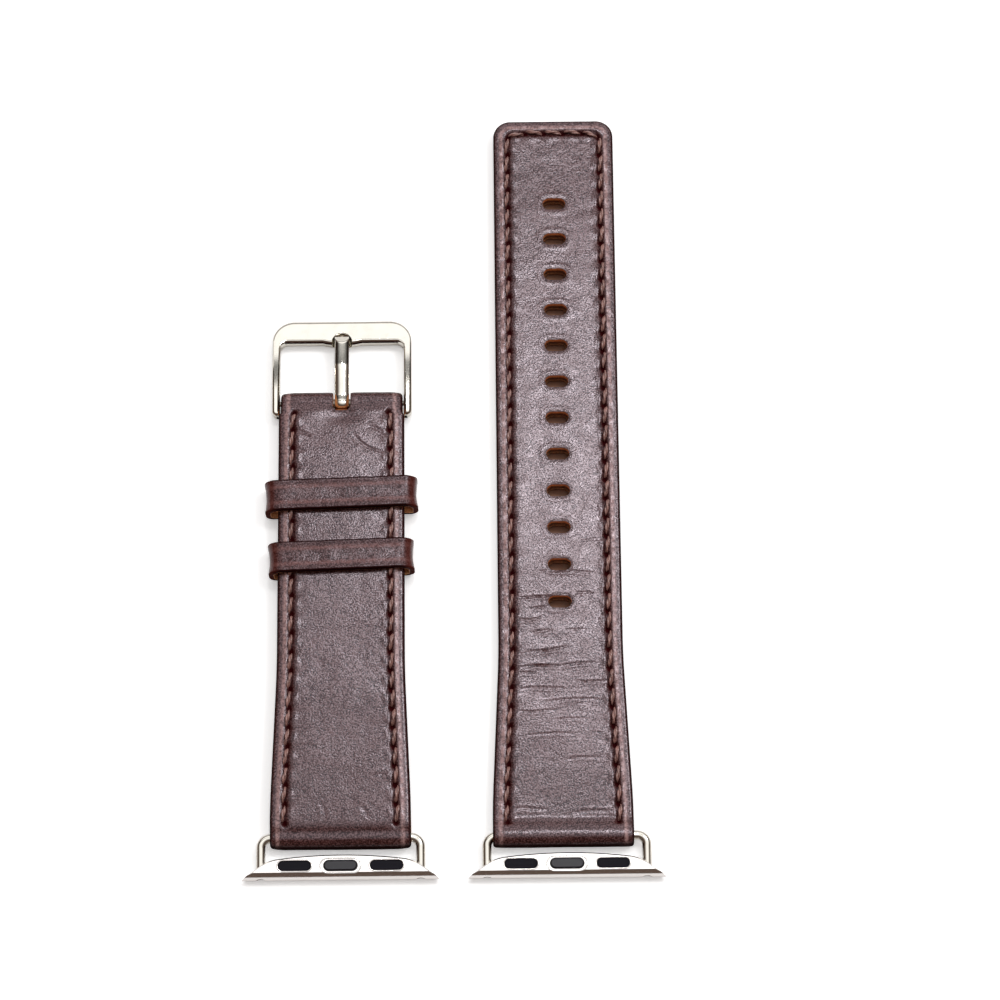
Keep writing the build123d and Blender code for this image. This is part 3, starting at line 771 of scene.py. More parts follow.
def short_outer():
    """The short half's grain leather, with the tongue's slot through its fold."""
    route = short_route()
    y_of = route.points[:, 0]
    middle = np.argmax(y_of)
    slot_y = buckle_y - slot_back
    slot_a = np.interp(slot_y - SLOT_BELOW, y_of[:middle], route.at[:middle])
    slot_b = np.interp(SLOT_ABOVE - slot_y, -y_of[middle:], route.at[middle:])
    rows = graded([0, slot_a, slot_b, route.length], ROW_STEP)
    shares = column_shares(slot_half, BAND_STEP, CENTRE_STEP)
    s, x = plan_grid(rows, shares, short_width(route.place(rows)[0]), short_x)
    gone = box_gone(s, x, slot_a, slot_b, short_x - slot_half, short_x + slot_half)
    middle_s, half_s = (slot_a + slot_b) / 2, (slot_b - slot_a) / 2
    near = (np.abs(s - middle_s) < half_s + 1.5) & (np.abs(x - short_x) < slot_half + 1.5)
    dx, ds = onto_round(x[near] - short_x, s[near] - middle_s, slot_half, half_s, slot_corner)
    x[near] += dx
    s[near] += ds
    half = short_width(route.place(s)[0])
    edge = np.minimum(half - np.abs(x - short_x), np.minimum(s, route.length - s))
    body = slice(middle, route.turn)
    low_s, high_s = np.interp(
        (seam_to_buckle - buckle_y, -hoop_y - seam_to_bar), -y_of[body], route.at[body]
    )
    seam = Seam(short_seam(route, low_s, high_s))
    out_x = np.maximum(np.abs(x - short_x) - slot_half, 0)
    out_s = np.maximum(np.maximum(slot_a - s, s - slot_b), 0)
    rim = np.hypot(out_x, out_s)
    points = surface(route, s, x, ply / 2)
    marks = creased(x - short_x, points[..., 1], short_creases, 7) * (points[..., 2] > UPPER_SIDE)
    marks -= 0.18 * hump(s - slot_b - 1.0, 1.1) * hump(x - short_x, 2.4) + 0.1 * hump(rim, 0.3)
    piece = grain_sheet("short_grain", route, s, x, gone, edge, seam, rim, marks, SHORT_FINISH)
    return piece, seam, route


# Stitches: a twisted pair of strands from each needle hole to the next


def strand(path, up, twist_from):
    """One strand of a twisted pair along a path of points."""
    rings = len(path)
    turns = np.linspace(0, strand_turns * 2 * pi, rings)[:, None] + twist_from
    taper = np.sin(np.linspace(0.12, pi - 0.12, rings))[:, None] ** 0.35
    forward = np.gradient(path, axis=0)
    forward /= np.linalg.norm(forward, axis=1)[:, None]
    up_here = up - forward * np.sum(forward * up, axis=1)[:, None]
    up_here /= np.linalg.norm(up_here, axis=1)[:, None]
    side = np.cross(forward, up_here)
    centre = path + strand_apart * taper * (np.cos(turns) * side + np.sin(turns) * up_here)
    verts = [
        centre + strand_radius * taper * (cos(turn) * side + sin(turn) * up_here)
        for turn in np.arange(strand_sides) * 2 * pi / strand_sides
    ]
    return np.stack(verts, 1).reshape(-1, 3), ring_faces(rings, strand_sides)


def thread(name, seam, place):
    """Every stitch of a half; place gives a seam point's place and outward normal."""
    verts, faces, start = [], [], 0
    shares = np.linspace(0, 1, strand_rings)
    inner = needle_share + (1 - 2 * needle_share) * shares
    for run_number, holes in enumerate(seam.runs):
        for number, (a, b) in enumerate(zip(holes, holes[1:])):
            along = (b - a) / np.linalg.norm(b - a)
            outward = np.array([-along[1], along[0]])
            plan = a + np.outer(inner, b - a) + np.outer(1 - 2 * shares, outward * stitch_lean)
            plan += THREAD_OUTWARD * outward
            uneven = noise.noise(Vector((number * 1.7, run_number, 2.0)))
            rise = THREAD_RISE + THREAD_RISE_SPREAD * uneven
            height = (THREAD_SINK + rise) * np.sin(pi * shares) ** 0.5 - THREAD_SINK
            points, normals = place(plan[:, 0], plan[:, 1])
            path = points + normals * height[:, None]
            for twist_from in (0, pi):
                new_verts, new_faces = strand(path, normals, twist_from + 0.7 * number)
                verts.append(new_verts)
                faces += [tuple(index + start for index in face) for face in new_faces]
                start += len(new_verts)
    return make_object(name, np.concatenate(verts), faces, sharp=80)


def on_route(route):
    """Places on a route's outer face, for stitches."""

    def place(s, x):
        normals = route.place(s)[2:]
        return surface(route, s, x, ply / 2), np.stack([np.zeros_like(s), *normals], 1)

    return place


# Lining and core of each half: flat plies under the outer leather


def flat_ply(name, node, centre_x, width, bottom_z, top_z, openings, seam, step):
    """A flat ply along a node's length, rounded below and stitched if it has a seam."""
    low_y, high_y = (corner[1] for corner in span(node))
    stations = [low_y, *hole_stations(sorted(openings))]
    if openings:
        rows = graded([*stations, high_y - tip_corner], step).tolist()
        corner = [high_y - TIP_ROW_STEP * k for k in range(11, 0, -1)]
        rows = np.array(rows + [y for y in corner if y > rows[-1] + 0.05] + [high_y])
        half = long_tip_half(tip_y - rows, rows)
    else:
        rows = graded([*stations, high_y], step)
        half = width(rows)
    y, x = plan_grid(rows, column_shares(hole_half_x, step, 2 * step), half, centre_x)
    gone = punched(y, x, openings, HOLE_CLOSING if seam else 0)
    edge = tip_distance(tip_y - y, x, width(y)) if openings else width(y) - np.abs(x - centre_x)
    edge = np.minimum(edge, y - low_y)
    rim = hole_distance(y, x, openings)
    shift = np.zeros_like(y)
    away, arc = shift + 9.0, shift + 0.5
    plan = np.stack([x, y, 0 * y], -1)
    if seam:
        away, arc = seam.near(y, x)
        shift = 0.8 * pulled_in(away, arc) - round_in(edge, LINING_ROUND) - 0.1 * hump(rim, 0.3)
        shift = np.minimum(shift + lumps(plan, LINING_LUMPS, 21), 0)
    ragged = 0.02 + np.abs(lumps(plan, RAGGED_LUMPS, 31))
    x = x - np.sign(x - centre_x) * np.clip(1 - edge / 0.3, 0, 1) * ragged
    bottom = np.stack([x, y, bottom_z - shift], -1)
    top = np.stack([x, y, np.full(y.shape, top_z)], -1)
    values = leather_values(edge, away, arc, rim)
    values["raw"] = (np.zeros(y.shape), np.ones(y.shape))
    return shell(name, bottom, top, gone, values, wall_values(rim < 0.5, y.shape))


def under(bottom_z):
    """Places on the lining's face, for stitches."""

    def place(y, x):
        points = np.stack([x, y, np.full_like(y, bottom_z)], 1)
        return points, np.tile([0.0, 0.0, -1.0], (len(y), 1))

    return place


# Keepers: bands of leather bent round the short half

KEEPER_PLY = 1.2
KEEPER_CROWN = 2.4
KEEPER_FOOT = 1.6
KEEPER_SEAM = 0.15
KEEPER_TURN = radians(1.7)
KEEPER_ROUND = 0.3
KEEPER_WAIST = 0.2
KEEPER_SIDE_WAIST = 0.12
KEEPER_SOLE = 0.14
KEEPER_STEP = 0.22
KEEPER_LUMPS = (4.0, 0.05)
KEEPER_RAGGED = (1.1, 0.05)


def keeper_line(node):
    """Mid-line of a keeper's band in the XZ plane, from one side of its seam to the other."""
    low, high = span(node)
    half = (high[0] - low[0]) / 2 - KEEPER_PLY / 2
    bottom, top = low[2] + KEEPER_PLY / 2, high[2] - KEEPER_PLY / 2
    foot, crown = KEEPER_FOOT - KEEPER_PLY / 2, KEEPER_CROWN - KEEPER_PLY / 2
    points, normals = [], []

    def run(x0, z0, x1, z1):
        length = hypot(x1 - x0, z1 - z0)
        count = max(2, ceil(length / 0.3))
        for share in np.arange(count) / count:
            points.append((x0 + (x1 - x0) * share, z0 + (z1 - z0) * share))
            normals.append(((z1 - z0) / length, -(x1 - x0) / length))

    def turn(cx, cz, radius, start):
        for angle in np.radians(start + 90 * np.arange(8) / 8):
            points.append((cx + radius * cos(angle), cz + radius * sin(angle)))
            normals.append((cos(angle), sin(angle)))

    run(KEEPER_SEAM / 2, bottom, half - foot, bottom)
    turn(half - foot, bottom + foot, foot, -90)
    run(half, bottom + foot, half, top - crown)
    turn(half - crown, top - crown, crown, 0)
    run(half - crown, top, crown - half, top)
    turn(crown - half, top - crown, crown, 90)
    run(-half, top - crown, -half, bottom + foot)
    turn(foot - half, bottom + foot, foot, 180)
    run(foot - half, bottom, -KEEPER_SEAM / 2, bottom)
    points.append((-KEEPER_SEAM / 2, bottom))
    normals.append((0.0, -1.0))
    return np.array(points), np.array(normals)


def keeper(name, node, seed):
    """A keeper with a saddle-shaped band and rounded edges."""
    line, normals = keeper_line(node)
    low_y, high_y = (corner[1] for corner in span(node))
    length = high_y - low_y
    centre_y = (low_y + high_y) / 2
    insets = [KEEPER_ROUND * (1 - sin(radians(angle))) for angle in (90, 60, 30)]
    between = graded([KEEPER_ROUND, length - KEEPER_ROUND], KEEPER_STEP).tolist()
    v = np.array(insets + between + [length - inset for inset in insets[::-1]]) - length / 2
    edge = length / 2 - np.abs(v)
    upright = np.abs(normals[:, 0])
    waist = KEEPER_WAIST + KEEPER_SIDE_WAIST * upright
    saddle = -np.outer(waist, 1 - (2 * v / length) ** 2)
    grid_v = np.repeat(v[None, :], len(line), 0)
    flat = np.stack([
        np.repeat(line[:, :1], len(v), 1) + short_x,
        grid_v + centre_y,
        np.repeat(line[:, 1:], len(v), 1),
    ], -1)
    uneven = lumps(flat, KEEPER_LUMPS, seed, 3) - 0.03
    ragged = lumps(flat, KEEPER_RAGGED, seed + 3)
    y = grid_v + (ragged - 0.5 * np.abs(ragged)) * np.sign(grid_v)

    def placed(shift):
        x = line[:, :1] + normals[:, :1] * shift
        return np.stack([
            short_x + x * cos(KEEPER_TURN) - y * sin(KEEPER_TURN),
            centre_y + x * sin(KEEPER_TURN) + y * cos(KEEPER_TURN),
            line[:, 1:] + normals[:, 1:] * shift,
        ], -1)

    out = KEEPER_PLY / 2 + saddle + uneven - round_in(edge, KEEPER_ROUND)
    into = KEEPER_SOLE - KEEPER_PLY / 2 + saddle + 0.6 * round_in(edge, SOLE_ROUND)
    gone = np.zeros((len(line) - 1, len(v) - 1), bool)
    border = np.repeat(edge[None, :], len(line), 0)
    zero = np.zeros_like(border)
    values = {
        "border": (border, zero + 5),
        "groove": (zero, zero),
        "rim": (zero, zero),
        "raw": (zero, zero + 1),
        "end": (np.repeat(upright[:, None], len(v), 1), zero),
    }
    walls = {"border": zero, "raw": zero}
    return shell(name, placed(out), placed(into), gone, values, walls, sharp=55)


# Buckle: a frame with rounded edges, and its tongue

ARM_WIDTH = 1.28
FRAME_RAIL = 4.0
FRAME_THICK = 2.2
FRAME_CROWN = 0.45
FRAME_FOOT = 0.1
FRAME_CORNER = 3.6
WINDOW_CORNER = 1.3
ARM_CORNER = 0.9
SWELL_DEPTH = 0.4
SWELL_WIDTH = 6.4
NOTCH_RADIUS = 1.65
NOTCH_FLOOR = 1.15
NOTCH_GAP = 0.03
RAIL_SLOPE_RUN = 0.36
RAIL_SLOPE_DROP = 0.62
ARM_ROUND = 0.55
FOOT_ROUND = 0.6
BEVEL_RUN = ARM_ROUND * (1 - sin(radians(15)))
BEVEL_DROP = 0.29
BEVEL_LIP = 0.14
FRAME_ANGLES = (90, 75, 60, 45, 30, 15, 0)
FRAME_COLUMNS = 24
RAIL_ROUND_MORE = 0.35
TOP_DROP = 0.8
UNDER_DROP = 0.45
NOTCH_WALL = 0.16
NOTCH_SAG = 0.4
NOTCH_SAG_RUN = 0.5
ROD = 2.3
EYE = 2.8
EYE_WIDTH = 2.3
TIP_ROUND = 0.6
TONGUE_BEND = 0.6
TONGUE_BEND_SOFT = 0.1
TONGUE_TOP_RADIUS = 1.5
FACET_RUN = 1.7
FACET_ANGLE = radians(38)
FACET_SOFT = 0.03
EYE_RUN = 2.4
EYE_SQUARE = 3.4


def dropped(used, height):
    """Drop of an edge's ellipse where this share of its radius is used up."""
    return height * (1 - np.sqrt(np.maximum(1 - np.clip(used, 0, 1) ** 2, 0)))


def frame_rows():
    """Matching points of the frame's outer and inner outlines, up one arm and to the middle."""
    low, high = span("buckle_frame")
    half_out = (high[0] - low[0]) / 2
    half_in = half_out - ARM_WIDTH
    rail = high[1] - FRAME_RAIL
    foot = low[1] + ARM_CORNER
    outer, inner = [], []
    for t in np.linspace(pi / 2, 0, 14):
        y = low[1] + ARM_CORNER * (1 - sin(t))
        outer.append((ARM_CORNER * (1 - cos(t)) - half_out, y))
        inner.append((-half_in, y))
    for share in np.linspace(0, 1, 40)[1:]:
        outer.append((-half_out, foot + (high[1] - FRAME_CORNER - foot) * share))
        inner.append((-half_in, foot + (rail - WINDOW_CORNER - foot) * share))
    for t in np.linspace(0, pi / 2, 26)[1:]:
        in_x, in_y = 1 - cos(t), 1 - sin(t)
        outer.append((FRAME_CORNER * in_x - half_out, high[1] - FRAME_CORNER * in_y))
        inner.append((WINDOW_CORNER * in_x - half_in, rail - WINDOW_CORNER * in_y))
    start_out, start_in = outer[-1][0], inner[-1][0]
    bow = (SWELL_WIDTH**2 / 4 + SWELL_DEPTH**2) / (2 * SWELL_DEPTH)
    for x in graded([start_in, -2.2 * NOTCH_RADIUS / ROD, 0], 0.09)[1:]:
        swell = sqrt(bow**2 - min(abs(x), SWELL_WIDTH / 2) ** 2) - bow + SWELL_DEPTH
        outer.append((start_out * x / start_in, high[1]))
        inner.append((x, rail - max(0.0, swell)))
    outer, inner = np.array(outer), np.array(inner)
    flip = np.array([-1, 1])
    return (
        np.concatenate([outer, outer[-2::-1] * flip]),
        np.concatenate([inner, inner[-2::-1] * flip]),
    )


def buckle_frame():
    """The frame, arched from end to end, with a rest for the tongue."""
    outer, inner = frame_rows()
    low_y, high_y = (corner[1] for corner in span("buckle_frame"))
    rail = high_y - FRAME_RAIL
    width = np.hypot(*(inner - outer).T)[:, None]
    on_rail = np.clip((outer[:, 1] - (high_y - FRAME_CORNER)) / FRAME_CORNER, 0, 1)[:, None]
    round_out = ARM_ROUND + RAIL_ROUND_MORE * on_rail
    edge = np.array([1 - sin(radians(angle)) for angle in FRAME_ANGLES])[None, :]
    middle = np.linspace(0, 1, FRAME_COLUMNS + 1)[None, 1:-1]
    between = round_out + (width - round_out - ARM_ROUND) * middle
    away = np.concatenate(
        [round_out * edge, between, width - ARM_ROUND * edge[:, ::-1]], axis=1
    )
    plan = outer[:, None] + (inner - outer)[:, None] * (away / width)[..., None]
    x, y = plan[..., 0], plan[..., 1]
    to_foot = np.maximum(1 - (y - low_y) / FOOT_ROUND, 0)
    used = np.maximum(np.maximum(1 - away / round_out, 0), 1 - (width - away) / ARM_ROUND)
    used = np.hypot(used, to_foot)
    share = (y - low_y) / (high_y - low_y)
    centre_z = buckle_z + (FRAME_THICK / 2 + FRAME_FOOT - buckle_z) * share
    centre_z = centre_z + 4 * FRAME_CROWN * share * (1 - share)
    near = np.minimum(away, width - away)
    bevel = BEVEL_DROP * np.clip(1 - near / BEVEL_RUN, 0, 1)
    bevel = bevel + BEVEL_LIP * np.clip(1 - near / (0.2 * BEVEL_RUN), 0, 1) ** 2
    on_arm = 1 - np.clip(on_rail / 0.5, 0, 1)
    top = centre_z + FRAME_THICK / 2 - (1 - on_arm) * dropped(used, TOP_DROP)
    top = top - on_arm * np.maximum(bevel, dropped(to_foot, TOP_DROP))
    to_window = (width - away) / RAIL_SLOPE_RUN
    slope = centre_z + FRAME_THICK / 2 - RAIL_SLOPE_DROP * np.clip(1 - to_window, 0, 1)
    on_bar = np.clip(on_rail / 0.7, 0, 1)
    top = np.minimum(top + 0.5 * on_bar * (to_window < 1), slope) * on_bar + top * (1 - on_bar)
    into = NOTCH_RADIUS - np.hypot(x, np.maximum(y - rail, 0))
    wall = smooth(np.clip(into / NOTCH_WALL, 0, 1))
    rest = NOTCH_FLOOR + NOTCH_SAG * np.clip(1 - into / NOTCH_SAG_RUN, 0, 1) ** 2
    top = np.minimum(top, top * (1 - wall) + rest * wall)
    bottom = centre_z - FRAME_THICK / 2 + dropped(used, UNDER_DROP)
    gone = np.zeros((len(outer) - 1, away.shape[1] - 1), bool)
    faces = [np.stack([x + short_x, y, z], -1) for z in (top, bottom)]
    return shell("buckle_polished_frame", *faces, gone, {}, {}, sharp=35)


def buckle_tongue():
    """The tongue: an eye round the spring bar that runs into a rod with a slanted tip."""
    tip = span("buckle_tongue")[1][1]
    rail = span("buckle_frame")[1][1] - FRAME_RAIL
    rest = rail - SWELL_DEPTH - buckle_y
    rise = (NOTCH_FLOOR + NOTCH_GAP + ROD / 2 - buckle_z) / rest
    y = np.concatenate([
        buckle_y - EYE / 2 * np.cos(np.linspace(0.1, pi / 2, 16)),
        graded([buckle_y + 0.1, tip - FACET_RUN - 0.5], 0.2),
        graded([tip - FACET_RUN - 0.3, tip - TIP_ROUND], 0.06)[:-1],
        tip - TIP_ROUND * (1 - np.sin(np.linspace(0, pi / 2, 10))),
    ])
    out = y - buckle_y
    run = 2 * np.clip(out / (tip - buckle_y), 0, 1) - 1
    bend = TONGUE_BEND * (np.hypot(1, TONGUE_BEND_SOFT) - np.hypot(run, TONGUE_BEND_SOFT))
    centre = buckle_z + rise * out + bend
    spare = round_in(tip - y, TIP_ROUND)
    eye = np.sqrt(np.maximum((EYE / 2) ** 2 - out**2, 0))
    on_rod = smooth(np.clip(out / EYE_RUN, 0, 1))
    rod = (ROD / 2 - spare) * (out > 0)
    soft = 0.02 + 0.18 * np.clip(out / 0.8, 0, 1)
    upper = np.logaddexp((buckle_z + eye) / soft, (centre + rod) / soft) * soft
    lower = -np.logaddexp(-(buckle_z - eye) / soft, -(centre - rod) / soft) * soft
    power = EYE_SQUARE * (1 - on_rod) + 2 * on_rod
    half = EYE_WIDTH / 2 * (1 - on_rod) + (ROD / 2 - spare) * on_rod
    facet_z = buckle_z + rise * (tip - buckle_y) + ROD / 2
    ceiling = facet_z - (y - tip + FACET_RUN) * tan(FACET_ANGLE)
    turns = np.linspace(pi, 2 * pi, 26)[1:-1]
    c, s = np.cos(turns), np.sin(turns)
    across = np.linspace(1, -1, 27)
    rings = []
    for k in range(len(y)):
        reach = (np.abs(c) ** power[k] + np.abs(s) ** power[k]) ** (-1 / power[k])
        fall = TONGUE_TOP_RADIUS - np.sqrt(TONGUE_TOP_RADIUS**2 - (half[k] * across) ** 2)
        middle = (upper[k] + lower[k]) / 2
        x = half[k] * np.concatenate([across, reach * c])
        z = np.concatenate([
            np.maximum(upper[k] - fall, middle),
            middle + (upper[k] - lower[k]) / 2 * reach * s,
        ])
        z = z - FACET_SOFT * np.logaddexp((z - ceiling[k]) / FACET_SOFT, 0)
        rings.append(np.stack([short_x + x, np.full_like(x, y[k]), z], -1))
    return ring_object("buckle_polished_tongue", np.array(rings), 32)


LIP = 0.11
LIP_GAP = 0.03
LIP_HEIGHT = 0.75 * LIP
LIP_RINGS = 72
LIP_SIDES = 10


def lip(name, node):
    """A polished lip round a pad's or button's pocket in the lug's face."""
    low, high = span(node)
    lug_top = span(node.split("_l")[0] + "_lug_bar")[1][2]
    centre = (low + high) / 2
    radius = (high[1] - low[1]) / 2 + LIP_GAP + LIP
    run = (high[0] - low[0]) / 2 - (high[1] - low[1]) / 2
    rings = []
    for turn in np.arange(LIP_RINGS) * 2 * pi / LIP_RINGS:
        out = np.array([cos(turn), sin(turn)])
        end = np.array([run * np.sign(out[0]) * min(1, abs(out[0]) * 8), 0])
        tilts = np.arange(LIP_SIDES) * 2 * pi / LIP_SIDES
        plan = centre[:2] + end + np.outer(radius + LIP * np.cos(tilts), out)
        rings.append(np.column_stack([plan, lug_top + LIP_HEIGHT * np.sin(tilts)]))
    return ring_object(name, np.array(rings), 180, closed=True)


# Materials

WHITE = (1.0, 1.0, 1.0, 1.0)


def give(tree, node, inputs):
    """Set or link a node's inputs."""
    for key, value in inputs.items():
        if isinstance(value, bpy.types.NodeSocket):
            tree.links.new(value, node.inputs[key])
        else:
            node.inputs[key].default_value = value


def adder(tree):
    """A helper that adds a node to a tree, and sets or links its inputs."""

    def add(kind, inputs=None, **settings):
        node = tree.nodes.new(kind)
        for key, value in settings.items():
            setattr(node, key, value)
        give(tree, node, inputs or {})
        return node

    return add


def new_material(name):
    """A new material, and a helper that adds nodes to it."""
    material = bpy.data.materials.new(name)
    material.use_nodes = True
    return material, adder(material.node_tree)


def finish(material, add, base, rough, height, bump, others=None):
    """Give a material its colour, roughness, bump (strength, depth in mm) and other values."""
    strength, depth = bump
    node = add("ShaderNodeBump",
               {"Height": height, "Strength": abs(strength), "Distance": depth * MM},
               invert=strength < 0)
    inputs = {"Base Color": base, "Roughness": rough, "Normal": node.outputs["Normal"]}
    tree = material.node_tree
    give(tree, tree.nodes["Principled BSDF"], {**inputs, **(others or {})})
    return material


def colour(r, g, b):
    """A colour from 0 to 255 display values, as the shader takes it."""
    shares = [value / 255 for value in (r, g, b)]
    linear = [v / 12.92 if v <= 0.04045 else ((v + 0.055) / 1.055) ** 2.4 for v in shares]
    return (*linear, 1.0)


def scaled(tint, by):
    """A colour made brighter or darker."""
    return (*(by * value for value in tint[:3]), 1.0)


def in_mm(add, stretch=(1, 1, 1)):
    """Object coordinates in millimetres, stretched along X, Y and Z."""
    where = add("ShaderNodeTexCoord").outputs["Object"]
    return add("ShaderNodeVectorMath", {0: where, 1: tuple(by / MM for by in stretch)},
               operation="MULTIPLY").outputs[0]


def maths(add, operation, *values):
    """The result of a math node."""
    return add("ShaderNodeMath", dict(enumerate(values)), operation=operation).outputs[0]


def along_axis(add, where, axis):
    """How far a place lies along an axis."""
    return add("ShaderNodeVectorMath", {0: where, 1: axis},
               operation="DOT_PRODUCT").outputs["Value"]


def mix(add, share, a, b):
    """A colour mix; a and b are colours or sockets."""
    return add("ShaderNodeMix", {"Factor": share, 6: a, 7: b}, data_type="RGBA").outputs[2]


def layered(add, base, *layers):
    """A colour with others over it, each given as its share and itself."""
    for share, tint in layers:
        base = mix(add, share, base, tint)
    return base


def ramp(add, value, low, high, out_low=0.0, out_high=1.0, smoothed=True):
    """A value mapped from one range to another, clamped."""
    node = add("ShaderNodeMapRange",
               {"Value": value, "From Min": low, "From Max": high, "To Min": out_low,
                "To Max": out_high},
               interpolation_type="SMOOTHSTEP" if smoothed else "LINEAR")
    return node.outputs["Result"]


def attribute(add, name):
    """A float attribute of the mesh."""
    return add("ShaderNodeAttribute", attribute_name=name).outputs["Fac"]


def noise_of(add, where, scale, detail=3.0, rough=0.55):
    """Noise with lumps about 1 / scale of the coordinates' unit across."""
    return add("ShaderNodeTexNoise", {"Vector": where, "Scale": scale, "Detail": detail,
                                      "Roughness": rough}).outputs["Fac"]


def grain_material(name, gloss, warm=0.0):
    """Oiled leather: dark maroon, a fine pebbled grain that takes the sheen with its tops painted
    lighter as tone and highlight, ridges painted lighter as wear and highlight, and painted shade
    in folds, grooves and rims.
    """
    material, add = new_material(name)
    where = in_mm(add)
    broad = noise_of(add, where, 0.07, 2.0)
    cloud = noise_of(add, where, 0.45, 3.0, 0.6)
    fine = noise_of(add, where, 2.4, 3.0, 0.7)
    speck = noise_of(add, where, 4.2, 1.0, 0.5)
    border, groove, rim, raw, fold, end = (
        attribute(add, key) for key in ("border", "groove", "rim", "raw", "fold", "end")
    )
    # Border ridge band painted lighter: partly wear, partly a painted highlight of the sheen on the
    # ridge
    band = maths(add, "MULTIPLY", ramp(add, border, 0.7, 1.2),
                 ramp(add, border, 1.35, 1.75, 1.0, 0.0))
    wear_and_highlight = maths(add, "MULTIPLY", band, ramp(add, fine, 0.36, 0.6, 0.15, 0.75))
    edge = ramp(add, border, 0.12, 0.42, 1.0, 0.0)
    fibre = mix(add, ramp(add, fine, 0.3, 0.7), FIBRE_DARK, FIBRE_PALE)
    base = layered(
        add, MAROON,
        (ramp(add, broad, 0.3, 0.7), MAROON_BROAD),
        (ramp(add, cloud, 0.35, 0.7, 0.0, 0.6), MAROON_CLOUD),
        (ramp(add, speck, 0.5, 0.66, 0.0, 0.8), PORE),
        # pebble tops, where the bump rises, painted lighter: grain tone and painted highlight
        (ramp(add, speck, 0.5, 0.36, 0.0, 0.6), PEBBLE_TONE_AND_HIGHLIGHT),
        (wear_and_highlight, KEEPER_RIDGE_WEAR_AND_HIGHLIGHT if warm else RIDGE_WEAR_AND_HIGHLIGHT),
        (edge, EDGE_PAINT),
        # painted shade where the grain side turns down round a bar
        (fold, FOLD_PAINTED_SHADE),
        # painted shade in the seam's groove and needle slits
        (groove, GROOVE_PAINTED_SHADE),
        # painted shade round the size holes and the slot
        (rim, RIM_PAINTED_SHADE),
        (ramp(add, end, 0.1, 0.9, 0.0, warm), KEEPER_END),
        (ramp(add, raw, 0.2, 0.9), fibre),
    )
    dull = edge
    for other in (groove, rim, raw, fold):
        dull = maths(add, "MAXIMUM", dull, other)
    shine = maths(add, "MULTIPLY", ramp(add, dull, 0.0, 0.9, gloss, 0.02, False),
                  ramp(add, speck, 0.42, 0.58, 1.14, 0.6))
    rough = maths(add, "ADD", ramp(add, cloud, 0.3, 0.7, 0.18, 0.25),
                  ramp(add, dull, 0.1, 0.9, 0.0, 0.4))
    height = maths(add, "SUBTRACT", speck, maths(add, "MULTIPLY", fine, 0.25))
    return finish(material, add, base, rough, height, (-1.0, 0.024),
                  {"Specular IOR Level": shine, "Specular Tint": GRAIN_SHEEN})


def lining_material():
    """Matt lining leather with painted edges."""
    material, add = new_material("lining_leather")
    where = in_mm(add)
    cloud = noise_of(add, where, 0.3, 4.0, 0.6)
    fine = noise_of(add, where, 4.0, 3.0, 0.65)
    fibre = mix(add, ramp(add, fine, 0.3, 0.7), colour(92, 53, 28), colour(160, 104, 62))
    base = layered(
        add, colour(96, 66, 48),
        (ramp(add, cloud, 0.3, 0.7), colour(116, 82, 60)),
        (ramp(add, fine, 0.4, 0.62, 0.0, 0.4), colour(78, 50, 36)),
        # painted shade in the seam's groove
        (attribute(add, "groove"), colour(50, 26, 18)),
        (ramp(add, attribute(add, "border"), 0.1, 0.5, 1.0, 0.0), colour(42, 17, 16)),
        (ramp(add, attribute(add, "raw"), 0.2, 0.9), fibre),
    )
    return finish(material, add, base, 0.72, fine, (0.3, 0.05))


def core_material():
    """The middle ply: painted at the edge, raw in the holes."""
    material, add = new_material("core_leather")
    fine = noise_of(add, in_mm(add), 3.0, 4.0, 0.7)
    paint = mix(add, ramp(add, fine, 0.35, 0.7), colour(38, 14, 14), colour(62, 26, 23))
    fibre = mix(add, ramp(add, fine, 0.3, 0.7), colour(64, 30, 12), colour(150, 84, 38))
    base = mix(add, ramp(add, attribute(add, "raw"), 0.2, 0.9), paint, fibre)
    return finish(material, add, base, 0.6, fine, (0.5, 0.08))


def thread_material():
    """Waxed thread in copper brown, with pale flecks painted on as highlights."""
    material, add = new_material("thread")
    where = in_mm(add)
    cloud = noise_of(add, where, 0.8, 2.0)
    fibre = noise_of(add, where, 9.0, 3.0, 0.7)
    base = layered(
        add, colour(88, 46, 40),
        (ramp(add, cloud, 0.35, 0.65), colour(128, 82, 74)),
        # pale flecks by the fibre noise: painted highlights
        (ramp(add, fibre, 0.4, 0.65, 0.0, 0.6), colour(204, 164, 154)),
    )
    return finish(material, add, base, 0.3, fibre, (0.4, 0.04), {"Specular IOR Level": 0.85})


def metal_material(name, tint, low, high, scratch, brushed=(1, 1, 1)):
    """Steel with faint scratches, from low to high roughness, brushed along an axis or not."""
    material, add = new_material(name)
    where = in_mm(add, brushed)
    broad = noise_of(add, where, 0.5, 3.0)
    fine = noise_of(add, where, 5.0, 3.0, 0.7)
    base = mix(add, ramp(add, broad, 0.35, 0.7), tint, scaled(tint, 0.93))
    rough = ramp(add, fine, 0.3, 0.7, low, high)
    return finish(material, add, base, rough, fine, (scratch, 0.01), {"Metallic": 1.0})


def plastic_material(name, tint, low, high, lumps, gloss):
    """Rubber or plastic with a fine uneven skin, from low to high roughness."""
    material, add = new_material(name)
    fine = noise_of(add, in_mm(add), lumps, 3.0, 0.6)
    base = mix(add, ramp(add, fine, 0.35, 0.7, 0.0, 0.6), tint, scaled(tint, 1.5))
    rough = ramp(add, fine, 0.3, 0.7, low, high)
    return finish(material, add, base, rough, fine, (0.25, 0.03), {"Specular IOR Level": gloss})


def dress(piece, material):
    """Give a piece its one material."""
    piece.data.materials.clear()
    piece.data.materials.append(material)


